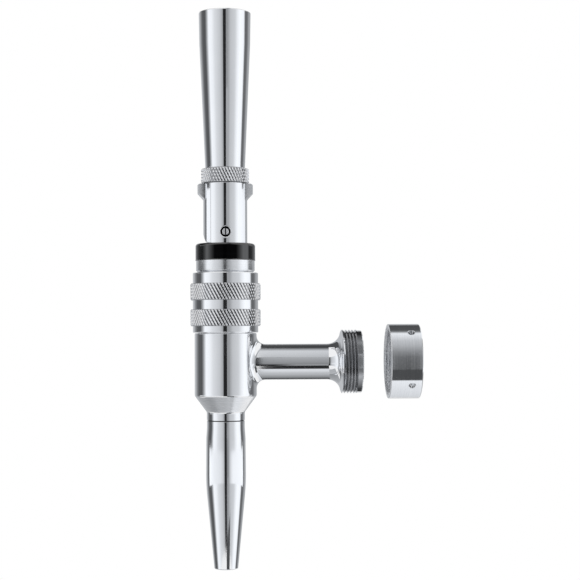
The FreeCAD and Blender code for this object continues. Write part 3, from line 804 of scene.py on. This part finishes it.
def makeCap():
    form = SimpleNamespace(**capForm)
    low, high = heights("cam_cap")
    seat = low + form.spigotDepth
    corners = [
        (form.bore, low),
        (form.spigot, low),
        (form.spigot, seat),
        (form.lipRadius, seat, form.lipEdge),
        (form.radius, seat + form.lipHeight),
        (form.radius, high, form.edge),
        (form.bore, high, form.boreEdge)]
    turnedPiece("camCap", corners, "faucet", "black_acetal", "acetal", "cam_cap")


housingForm = {"radius": 13.17, "chamfer": 0.7, "edge": 0.12, "spigot": 10.5, "springBore": 8.6, "ceiling": 2.2,
               "shaftBore": 4.3, "ringHeight": 5.25, "seatDepth": 0.9, "seatBore": 8.1}


def makeHousing():
    form = SimpleNamespace(**housingForm)
    low, high = heights("spring_housing")
    ring = high - form.ringHeight
    corners = [
        (form.springBore, low),
        (form.spigot, low),
        (form.spigot, ring),
        (form.radius - form.chamfer, ring, form.edge),
        (form.radius, ring + form.chamfer, form.edge),
        (form.radius, high, form.edge),
        (form.seatBore, high),
        (form.seatBore, high - form.seatDepth),
        (form.shaftBore, high - form.seatDepth),
        (form.shaftBore, high - form.ceiling),
        (form.springBore, high - form.ceiling)]
    turnedPiece("springHousing", corners, "faucet", "brushed_steel", "housing", "spring_housing")


# Bonnet nut with its two knurled bands

bonnetForm = {"land": 14.65, "band": 15.74, "foot": 2.9, "bandHeight": 7.5, "waist": 4.1, "edge": 0.4,
              "thread": 12.6, "lipBore": 9.2, "headBore": 10.6, "bushTop": 30.0, "lipTop": 33.0,
              "starts": 64, "rows": 22, "depths": (0.5, 0.07)}


def makeBonnet():
    form = SimpleNamespace(**bonnetForm)
    low, high = heights("bonnet_nut")
    lower = low + form.foot
    upper = lower + form.bandHeight + form.waist
    shell = newShell()
    for start in (lower, upper):
        knurlBand(shell, start, start + form.bandHeight, form.band, form.land, form)
    land = form.land
    strips = [
        [(form.thread, form.bushTop), (form.thread, low), (land, low, form.edge), (land, lower)],
        [(land, lower + form.bandHeight), (land, upper)],
        [(land, upper + form.bandHeight), (land, high, form.edge), (form.headBore, high),
         (form.headBore, form.lipTop), (form.lipBore, form.lipTop), (form.lipBore, form.bushTop),
         (form.thread, form.bushTop)]]
    for corners in strips:
        for edge in roundedEdges(corners, closed=False):
            bridgeEdge(shell, edge, aroundAxis(perGroove * form.starts))
    piece = pieceFrom("bonnetNut", shell, onFaucet)
    finishPiece(piece, "faucet", "knurled_steel", "polishedUp", "bonnet_nut")
    piece.data.materials.append(materials["knurledNut"])
    for polygon in piece.data.polygons:
        if len(polygon.vertices) == 3:  # only the knurl has triangles
            polygon.material_index = 1


# Body, arm and threaded ferrule, which are welded and polished into one

bodyForm = {"radius": 13.9, "wallLow": -15.05, "wallHigh": 13.0, "topEdge": 0.5, "coneHeight": 7.3,
            "coneBlend": 2.0, "coneTop": 0.2, "coneTurn": 0.25, "tail": 8.5, "tailSkin": 0.1, "neck": 12.5,
            "neckChamfer": 0.8, "chamber": 9.5, "floor": -11.5, "throat": 4.6, "socket": 7.0, "shelf": -17.5,
            "columns": 128, "patchEnd": 10.0, "halfPatch": 22, "rows": 28,
            "shares": (0.0, 0.1, 0.25, 0.45, 0.7, 1.0)}
armForm = {"radius": 8.0, "fillet": 3.8, "filletSteps": 10, "flareStart": -10.1, "flareBlend": 6.2, "lead": 6.0,
           "rootRadius": 13.42, "threadFoot": -9.3, "threadStart": -8.9, "threadEnd": -2.4,
           "threadRadius": 14.2875, "depth": 0.866, "pitch": 1.4111, "runOut": 0.35, "crestSkin": 0.3,
           "flankTurn": 0.2, "landRadius": 13.95, "chamfer": 0.3, "edge": 0.12, "bore": 10.2, "boreDepth": 3.4,
           "pocket": 9.3, "pocketDepth": 5.0, "passage": 4.0, "arcStep": 6.0}


# Places on a turned wall are (angle, height)
def onWall(radius, places):
    return ringAt(places[:, 0], radius, places[:, 1])


# Places round a rectangle on a turned wall, counter-clockwise from its lower right corner
def patchRim(low, high):
    half, rows = bodyForm["halfPatch"], bodyForm["rows"]
    step = 2 * math.pi / bodyForm["columns"]
    levels = np.linspace(low, high, rows + 1)
    rim = [(half * step, levels[i]) for i in range(rows)]
    rim += [(step * k, high) for k in range(half, -half, -1)]
    rim += [(-half * step, levels[i]) for i in range(rows, 0, -1)]
    rim += [(step * k, low) for k in range(-half, half)]
    return np.array(rim)


# A turned wall with a hole in it: a ring of quads from the hole's outline to the rectangle,
# and plain columns on the rest of the way round
def patchedWall(shell, radius, low, high, outline, side):
    form = SimpleNamespace(**bodyForm)
    rim = patchRim(low, high)
    rings = [outline + (rim - outline) * share for share in form.shares]
    for near, far in zip(rings, rings[1:]):
        bridge(shell, onWall(radius, near), onWall(radius, far),
               ringAt(near[:, 0], side, 0), ringAt(far[:, 0], side, 0))
    angles = np.arange(form.halfPatch, form.columns - form.halfPatch + 1) * (2 * math.pi / form.columns)
    levels = np.linspace(low, high, form.rows + 1)
    out = ringAt(angles, side, 0)
    for a, b in zip(levels, levels[1:]):
        bridge(shell, ringAt(angles, radius, a), ringAt(angles, radius, b), out, out, closed=False)


def makeFaucetBody(shell, form, arm):
    low, high = heights("faucet_body")
    corners = [
        (form.socket, low),
        (form.tail, low),
        (form.tail, form.wallLow - form.coneHeight, form.coneBlend),
        (form.radius, form.wallLow, form.coneBlend),
        (form.radius, form.wallHigh, form.topEdge),
        (form.neck, form.wallHigh),
        (form.neck, high - form.neckChamfer),
        (form.neck - form.neckChamfer, high),
        (form.chamber, high),
        (form.chamber, form.patchEnd),
        (form.chamber, -form.patchEnd),
        (form.chamber, form.floor),
        (form.throat, form.floor),
        (form.throat, form.shelf),
        (form.socket, form.shelf)]
    walls = {}
    for edge in roundedEdges(corners):
        start, end = edge[0], edge[1]
        low, high = sorted((start[1], end[1]))
        if abs(start[0] - end[0]) < tiny and low <= -form.patchEnd and high >= form.patchEnd:
            walls[round(start[0], 3)] = (low, high)
        else:
            bridgeEdge(shell, edge, aroundAxis(form.columns))
    outer = walls[round(form.radius, 3)]
    rim = patchRim(*outer)
    around = np.unwrap(np.arctan2(rim[:, 1], rim[:, 0] * form.radius))  # angle about the arm's axis
    # The fillet is the path of a ball that rolls between body and arm
    ball = arm.fillet
    far = form.radius + ball
    spread = arm.radius + ball
    centres = np.column_stack([np.sqrt(far ** 2 - (spread * np.cos(around)) ** 2), spread * np.cos(around),
                               spread * np.sin(around)])
    outline = np.column_stack([np.arctan2(centres[:, 1], centres[:, 0]), centres[:, 2]])
    patchedWall(shell, form.radius, *outer, outline, 1)
    none = np.zeros(len(around))
    onBody = np.column_stack([-centres[:, 0] / far, -centres[:, 1] / far, none])
    onTube = np.column_stack([none, -np.cos(around), -np.sin(around)])
    opening = np.arccos(np.clip(np.sum(onBody * onTube, axis=1), -1, 1))[:, None]
    rings = []
    for i in range(arm.filletSteps + 1):
        share = i / arm.filletSteps
        ray = (np.sin((1 - share) * opening) * onBody + np.sin(share * opening) * onTube) / np.sin(opening)
        rings.append((centres + ball * ray, -ray))
    rings[0] = (onWall(form.radius, outline), rings[0][1])
    for (nearPoints, nearNormals), (farPoints, farNormals) in zip(rings, rings[1:]):
        bridge(shell, nearPoints, farPoints, nearNormals, farNormals)
    # The passage's hole in the chamber's wall
    passage = np.column_stack([arm.passage * np.cos(around), arm.passage * np.sin(around)])
    holeX = np.sqrt(form.chamber ** 2 - passage[:, 0] ** 2)
    hole = np.column_stack([np.arctan2(passage[:, 0], holeX), passage[:, 1]])
    patchedWall(shell, form.chamber, *walls[round(form.chamber, 3)], hole, -1)
    return around, rings[-1][0], onWall(form.chamber, hole)


# From points about the arm's axis to points about the faucet's
def toFaucet(points):
    points = np.asarray(points, float)
    return np.column_stack([points[:, 2] - axisX, points[:, 0], points[:, 1]])


def makeArm(shell, arm, around, foot, hole):
    local = newShell()
    corners = [
        (arm.radius, arm.flareStart - arm.lead),
        (arm.radius, arm.flareStart, arm.flareBlend),
        (arm.rootRadius, arm.threadFoot),
        (arm.threadRadius, arm.threadStart),
        (arm.threadRadius, arm.threadEnd),
        (arm.landRadius, arm.threadEnd),
        (arm.landRadius, -arm.chamfer, arm.edge),
        (arm.landRadius - arm.chamfer, 0, arm.edge),
        (arm.bore, 0, arm.edge),
        (arm.bore, -arm.boreDepth),
        (arm.pocket, -arm.boreDepth),
        (arm.pocket, -arm.pocketDepth),
        (arm.passage, -arm.pocketDepth)]
    for edge in roundedEdges(corners, closed=False, arcStep=arm.arcStep):
        if abs(edge[0][1] - arm.threadStart) < tiny and abs(edge[1][1] - arm.threadEnd) < tiny:
            threadRows(local, around, arm.threadStart, arm.threadEnd, arm.threadRadius, arm, 1)
        else:
            bridgeEdge(local, edge, around)
    for ids, normals in zip(local.faces, local.normals):
        points = toFaucet([local.points[i] for i in ids])
        addFace(shell, points, [Vector((n[2], n[0], n[1])) for n in normals])
    out = np.column_stack([np.zeros(len(around)), np.cos(around), np.sin(around)])
    bridge(shell, foot, toFaucet(ringAt(around, arm.radius, arm.flareStart - arm.lead)), out, out)
    bridge(shell, hole, toFaucet(ringAt(around, arm.passage, -arm.pocketDepth)), -out, -out)


def makeBody():
    form, arm = SimpleNamespace(**bodyForm), SimpleNamespace(**armForm)
    shell = newShell()
    around, foot, hole = makeFaucetBody(shell, form, arm)
    makeArm(shell, arm, around, foot, hole)
    piece = pieceFrom("faucetBody", shell, onFaucet)
    finishPiece(piece, "faucet", "polished_steel", "polishedUp", "faucet_body", "inlet_arm", "inlet_ferrule")
    paintFaces(piece, "cone", onFaucet, lambda spot, normal: (
        form.wallLow - form.coneHeight < spot.z < form.wallLow + form.coneTop
        and fromAxis(spot) > form.tail - form.tailSkin and normal.z < -form.coneTurn))
    # painted shade on the thread's flanks and roots; the crests keep the polished steel
    paintFaces(piece, "thread", onArm, lambda spot, normal: (
        arm.threadStart < spot.z < arm.threadEnd and normal.x > -arm.flankTurn
        and arm.bore + 1 < fromAxis(spot) < arm.threadRadius - arm.crestSkin))


gasketForm = {"radius": 9.2, "bore": 5.2, "edge": 0.25, "columns": 96}


def makeGasket():
    form = SimpleNamespace(**gasketForm)
    low, high = boxMm("inlet_gasket")
    corners = [(form.bore, low.x, form.edge), (form.radius, low.x, form.edge),
               (form.radius, high.x, form.edge), (form.bore, high.x, form.edge)]
    turnedPiece("inletGasket", corners, "faucet", "seal_rubber", "rubber", "inlet_gasket", onArm, form.columns)


# Spout

spoutForm = {"stub": 6.9, "ringFoot": 1.2, "ringHeight": 2.0, "ringDepth": 1.1, "joint": -25.9, "neck": 8.45,
             "neckHeight": 5.8, "step": 0.33, "belly": 8.9, "taper": 37.2, "blend": 90.0, "tip": 5.3,
             "tipEdge": 0.4, "bore": 4.7, "outlet": 4.2, "outletHeight": 40.0, "outletEdge": 0.3,
             "jointEdge": 0.15, "jointGap": 0.4, "shoulder": 2.2, "shoulderBlend": 24.0, "shadeDrop": 0.05,
             "shadeIn": 0.5}


def makeSpout():
    form = SimpleNamespace(**spoutForm)
    low, high = heights("spout")
    top = form.joint - form.jointGap
    neckEnd = form.joint - form.neckHeight
    ring = form.joint + form.ringFoot
    floor = form.stub - form.ringDepth
    corners = [
        (form.bore, high),
        (form.stub, high),
        (form.stub, ring + form.ringHeight),
        (floor, ring + form.ringHeight),
        (floor, ring),
        (form.stub, ring),
        (form.stub, top),
        (form.neck, top, form.jointEdge),
        (form.neck, neckEnd + form.shoulder, form.shoulderBlend),
        (form.neck + form.step, neckEnd - form.shoulder, form.shoulderBlend),
        (form.belly, low + form.taper, form.blend),
        (form.tip, low, form.tipEdge),
        (form.outlet, low, form.outletEdge),
        (form.outlet, low + form.outletHeight),
        (form.bore, low + form.outletHeight)]
    piece = turnedPiece("taperedSpout", corners, "faucet", "polished_steel", "polishedUp", "spout")
    paintFaces(piece, "shade", onFaucet, lambda spot, normal: (
        spot.z > top - form.shadeDrop and fromAxis(spot) > form.bore + form.shadeIn))


# Coupling nut

nutForm = {"wall": 2.8, "shankBore": 11.3, "mouthChamfer": 0.8, "mouthEdge": 0.2, "rearChamfer": 0.3,
           "relief": 1.6, "crest": 14.3775, "depth": 0.866, "pitch": 1.4111, "runOut": 0.4,
           "holeRadius": 1.5, "holePlace": 9.4, "holeAngle": 50.5, "holes": 4, "holeBevel": 0.18,
           "holeColumns": 48, "columns": 160, "edge": 0.12, "paintPast": 0.1, "rootPast": 0.05}


def makeNut():
    form = SimpleNamespace(**nutForm)
    low, high = boxMm("coupling_nut")
    start, end, radius = low.x, high.x, halfWidth("coupling_nut")
    wall = end - form.wall
    reliefStart = wall - form.relief
    root = form.crest + form.depth
    mouth = start + form.mouthChamfer
    angles = aroundAxis(form.columns)
    shell = newShell()
    corners = [
        (form.crest + form.mouthChamfer, start, form.edge),
        (form.crest, mouth),
        (form.crest, reliefStart),
        (root, reliefStart),
        (root, wall),
        (form.shankBore, wall, form.edge),
        (form.shankBore, end, form.edge),
        (radius - form.rearChamfer, end, form.edge),
        (radius, end - form.rearChamfer, form.edge),
        (radius, start, form.mouthEdge)]
    for edge in roundedEdges(corners):
        if abs(edge[0][1] - mouth) < tiny and abs(edge[1][1] - reliefStart) < tiny:
            threadRows(shell, angles, mouth, reliefStart, form.crest, form, -1)
        else:
            bridgeEdge(shell, edge, angles)
    piece = pieceFrom("couplingNut", shell, onArm)
    bevel = form.holeBevel
    drill = turnedShell([
        (0, form.shankBore - 1),
        (form.holeRadius, form.shankBore - 1),
        (form.holeRadius, radius - bevel),
        (form.holeRadius + 3 * bevel, radius + 2 * bevel),
        (0, radius + 2 * bevel)], form.holeColumns)
    middle = Matrix.Translation(Vector((start + form.holePlace, 0, 0)) * mm)
    steps = []
    for i in range(form.holes):
        angle = math.radians(form.holeAngle + i * 360 / form.holes)
        turn = Vector((0, -math.cos(angle), math.sin(angle))).to_track_quat("Z", "Y").to_matrix().to_4x4()
        steps.append(("DIFFERENCE", pieceFrom("drill", drill, middle @ turn @ Matrix.Scale(mm, 4))))
    cutPiece(piece, steps)
    finishPiece(piece, "nut", "brushed_steel", "nut", "coupling_nut")
    paintFaces(piece, "nutBore", onArm, lambda spot, normal: (
        mouth < spot.z < wall + form.paintPast and fromAxis(spot) < root + form.rootPast))
    paintFaces(piece, "rim", onArm, lambda spot, normal: (
        spot.z < mouth and fromAxis(spot) < form.crest + form.mouthChamfer + form.paintPast))


# Return spring: a helix of round wire, built at one length

springForm = {"wire": 1.3, "radius": 6.4, "turns": 4.0, "keep": 0.71, "section": 16, "perTurn": 40}


def makeSpring():
    form = springForm
    low, high = heights("return_spring")
    half = form["wire"] / 2
    rise = high - low - form["wire"]
    count = int(form["turns"] * form["perTurn"])
    shell = newShell()
    slope = math.atan2(rise / form["turns"], 2 * math.pi * form["radius"])
    rings = []
    for i in range(count + 1):
        angle = 2 * math.pi * i / form["perTurn"]
        out = Vector((math.cos(angle), math.sin(angle), 0))
        along = Vector((-math.sin(angle) * math.cos(slope), math.cos(angle) * math.cos(slope), math.sin(slope)))
        up = out.cross(along)
        centre = out * form["radius"] + Vector((0, 0, low + half + rise * i / count))
        rays = [out * math.cos(t) + up * math.sin(t) for t in aroundAxis(form["section"])]
        rings.append(([centre + ray * half for ray in rays], rays))
    for (lowPoints, lowRays), (highPoints, highRays) in zip(rings, rings[1:]):
        bridge(shell, lowPoints, highPoints, lowRays, highRays)
    for (points, rays), way in ((rings[0], -1), (rings[-1], 1)):
        flat = way * rays[0].cross(rays[form["section"] // 4]).normalized()
        addFace(shell, points, [flat] * len(points))
    piece = pieceFrom("returnSpring", shell, onFaucet)
    finishPiece(piece, "faucet", "spring_steel", "spring", "return_spring")
    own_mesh(piece)


for make in (makeHandle, makeCollar, makeLever, makePivotPin, makeCap, makeHousing, makeBonnet, makeBody,
             makeGasket, makeSpout, makeNut, makeSpring):
    make()

# The solids that stay as they are get a finish each
innerFinish = {
    "turnedUp": ["handle_stud", "spring_washer", "seal_screw", "restrictor_plate"],
    "polishedUp": ["valve_shaft"],
    "spring": ["shaft_clip"],
    "bronze": ["pivot_bush"],
    "white": ["flow_straightener", "guide_bush"],
    "rubber": ["valve_seal", "bush_o_ring", "shaft_o_ring_lower", "shaft_o_ring_upper", "spout_o_ring"]}
for finish, names in innerFinish.items():
    for name in names:
        data = nodes[name].data
        if not data.materials:
            data.materials.append(None)
        for i in range(len(data.materials)):
            data.materials[i] = materials[finish]
print("finishes given to", sum(len(names) for names in innerFinish.values()), "inner solids")


# Camera: a long lens level with the arm, a little to the left of the faucet's axis
cameraForm = {"sensor": 36, "lens": 92.7, "clip": (0.01, 20), "place": (-0.066, -0.672, 0.014),
              "target": (-0.032, 0, 0.0323), "roll": -0.24}


# Studio: a white world, a pale floor, and cards that only show as reflections

def stageObject(name, points, faces, material):
    mesh = bpy.data.meshes.new(name)
    mesh.from_pydata(points, [], faces)
    mesh.materials.append(material)
    card = addObject(name, mesh)
    return card


# A card is a sheet of rows of points, each row with its brightness, and the light runs evenly
# from row to row. Stops are (place, brightness), and the places between them are filled in.
def evenSteps(stops, step):
    filled = []
    for (a, lightA), (b, lightB) in zip(stops, stops[1:]):
        count = max(1, math.ceil(abs(b - a) / step))
        filled += [(a + (b - a) * i / count, lightA + (lightB - lightA) * i / count) for i in range(count)]
    return filled + [stops[-1]]


def lightCard(name, rows, material):
    points = [point for light, row in rows for point in row]
    width = len(rows[0][1])
    faces = [(width * i + j, width * i + j + 1, width * (i + 1) + j + 1, width * (i + 1) + j)
             for i in range(len(rows) - 1) for j in range(width - 1)]
    card = stageObject(name, points, faces, material)
    lights = card.data.attributes.new("light", "FLOAT", "POINT")
    lights.data.foreach_set("value", [light for light, row in rows for point in row])
    card.visible_camera = False
    card.visible_diffuse = False
    card.visible_shadow = False


# Upright cards bent round the faucet's axis: radius and heights in metres, then stops by angle from
# the camera's side, positive towards +X
ring = (-0.345, 0.42)
leverEnds = (0.063, 0.096)
belly = (-0.17, -0.09)
roundCards = {
    "ringLeft": (0.75, ring, [
        (-180, 0.55), (-150, 0.6), (-135, 0.33), (-118, 0.12), (-98, 0.1), (-88, 0.42), (-77, 1.1), (-60, 1.02),
        (-47, 0.82), (-22, 0.64), (-10, 0.42), (-7.5, 0.02), (4.2, 0.02), (5.5, 0.34), (8.6, 0.36)]),
    "ringPost": (0.75, ring, [(10.5, 0.37), (12.1, 0.38)]),
    "ringRight": (0.75, ring, [
        (15.7, 0.42), (25, 0.6), (47, 0.72), (60, 1.0), (72, 1.15), (94, 1.08), (103, 0.14), (120, 0.17),
        (135, 0.4), (180, 0.55)]),
    "leverLeft": (0.2, leverEnds, [(-114, 1.1), (-84, 1.1)]),
    "leverRight": (0.2, leverEnds, [(84, 1.15), (127, 1.0)]),
    "bellyLeft": (0.74, belly, [(-113, 1.2), (-70, 1.0), (-30, 0.88), (-18, 0.72), (-10, 0.5)]),
    "bellyRight": (0.74, belly, [(16, 0.45), (28, 0.85), (40, 1.05), (116, 1.15)]),
}

# Cards across the camera's sight lines as the arm's round surface turns them up or down: distance in
# metres, then the part of the arm that is to see the card, in millimetres along X, then stops. On an
# arch they are angles up from the camera's side. On a level card they are places along Y.
over, beyond, under = 0.8, 1.2, -0.3
archCards = {
    "armFront": (0.3, (-46, -13), [(-15, 0.26), (0, 0.35), (12, 0.39), (28, 0.47)]),
    "armOver": (over, (-48, -12), [
        (29, 0.56), (50, 0.66), (72, 0.72), (80, 0.6), (89, 0.36), (100, 0.12), (109, 0.04), (150, 0.16)]),
    "ferruleOver": (over, (-12, 6), [
        (29, 0.14), (60, 0.15), (73, 0.26), (88, 0.18), (105, 0.1), (120, 0.02), (150, 0.02)]),
    "nutOver": (over, (6, 60), [
        (29, 0.3), (50, 0.52), (67, 0.64), (78, 0.8), (95, 1.0), (104, 0.25), (112, 0.1), (150, 0.08)]),
    "roof": (over, (-600, -48), [(105, 0.08), (150, 0.08)]),
    "ferruleFar": (beyond, (-12, 2), [(-26, 0.16), (31, 0.14)]),
    "betweenFar": (beyond, (2, 11), [(-26, 0.37), (31, 0.37)]),
    "nutFar": (beyond, (11, 27.5), [(-26, 0.09), (0, 0.12), (14, 0.15), (31, 0.3)]),
    "besideFar": (beyond, (27.5, 90), [(-26, 0.4), (31, 0.4)]),
}
underCards = {
    "coneUnder": (under, (-300, -46), [
        (-0.25, 0.5), (-0.065, 0.5), (-0.05, 0.6), (-0.035, 0.5), (-0.02, 0.32), (0.03, 0.34), (0.3, 0.42),
        (0.7, 0.5)]),
    "armUnder": (under, (-46, -12), [
        (-0.66, 0.02), (-0.32, 0.03), (-0.26, 0.9), (-0.14, 0.74), (-0.08, 0.6), (0, 0.52), (0.05, 0.42),
        (0.18, 0.26), (0.3, 0.08), (0.6, 0.08)]),
    "ferruleUnder": (under, (-12, 6), [
        (-0.66, 0.14), (-0.4, 0.2), (-0.2, 0.48), (-0.09, 0.32), (0.04, 0.17), (0.15, 0.05), (0.5, 0.03)]),
    "nutUnder": (under, (6, 100), [
        (-0.66, 0.08), (-0.19, 0.08), (-0.165, 1.0), (0, 0.9), (0.1, 0.85), (0.5, 0.7)]),
}
cool = (0.94, 0.965, 1.0)
cardSteps = {"degrees": 2.5, "metres": 0.05}


# Where a sight line that meets the arm at x has got to after a further path, in metres
def sightLine(x, path):
    eye = cameraForm["place"]
    return x * mm + (x * mm - eye[0]) / -eye[1] * path


def roundRow(degrees, radius, ends):
    angle = math.radians(degrees)
    x, y = axisX * mm + radius * math.sin(angle), -radius * math.cos(angle)
    return [(x, y, z) for z in ends]


def archRow(degrees, radius, span):
    angle = math.radians(degrees)
    return [(sightLine(x, radius), -radius * math.cos(angle), radius * math.sin(angle)) for x in span]


def underRow(y, height, span):
    return [(sightLine(x, math.hypot(y, height)), y, height) for x in span]


def makeCards():
    material, tree, shader = plainMaterial("cardLight")
    tree.nodes.remove(shader)
    brightness = addNode(tree, "Attribute", attribute_name="light").outputs["Fac"]
    glow = feed(tree, addNode(tree, "Emission"), Color=(*cool, 1), Strength=brightness)
    feed(tree, tree.nodes["Material Output"], Surface=glow.outputs[0])
    kinds = ((roundCards, roundRow, "degrees"), (archCards, archRow, "degrees"),
             (underCards, underRow, "metres"))
    for cards, rowAt, unit in kinds:
        for name, (reach, span, stops) in cards.items():
            rows = [(light, rowAt(place, reach, span)) for place, light in evenSteps(stops, cardSteps[unit])]
            lightCard(name, rows, material)
    print("cards hung:", sum(len(cards) for cards, rowAt, unit in kinds))


floorForm = {"radius": 0.55, "height": -0.36, "columns": 96, "grey": 0.96, "rough": 0.9}


def makeFloor():
    form = SimpleNamespace(**floorForm)
    material, tree, shader = plainMaterial("paleFloor")
    feed(tree, shader, Base_Color=(form.grey, form.grey, form.grey, 1), Roughness=form.rough)
    points = ringAt(aroundAxis(form.columns), form.radius, form.height) + (axisX * mm, 0, 0)
    stageObject("floor", points.tolist(), [tuple(range(form.columns))], material)


world = bpy.data.worlds.new("studio")
world.use_nodes = True
feed(world.node_tree, world.node_tree.nodes["Background"], Color=(1, 1, 1, 1), Strength=1.0)
bpy.context.scene.world = world
makeCards()
makeFloor()


def makeCamera():
    form = cameraForm
    data = bpy.data.cameras.new("camera")
    data.sensor_width = form["sensor"]
    data.lens = form["lens"]
    data.clip_start, data.clip_end = form["clip"]
    camera = addObject("camera", data)
    camera.location = form["place"]
    aim = Vector(form["target"]) - Vector(form["place"])
    turn = aim.to_track_quat("-Z", "Y") @ Matrix.Rotation(math.radians(form["roll"]), 3, "Z").to_quaternion()
    camera.rotation_mode = "QUATERNION"
    camera.rotation_quaternion = turn
    bpy.context.scene.camera = camera


makeCamera()
bpy.context.scene.view_settings.view_transform = "Standard"
print("studio and camera set")
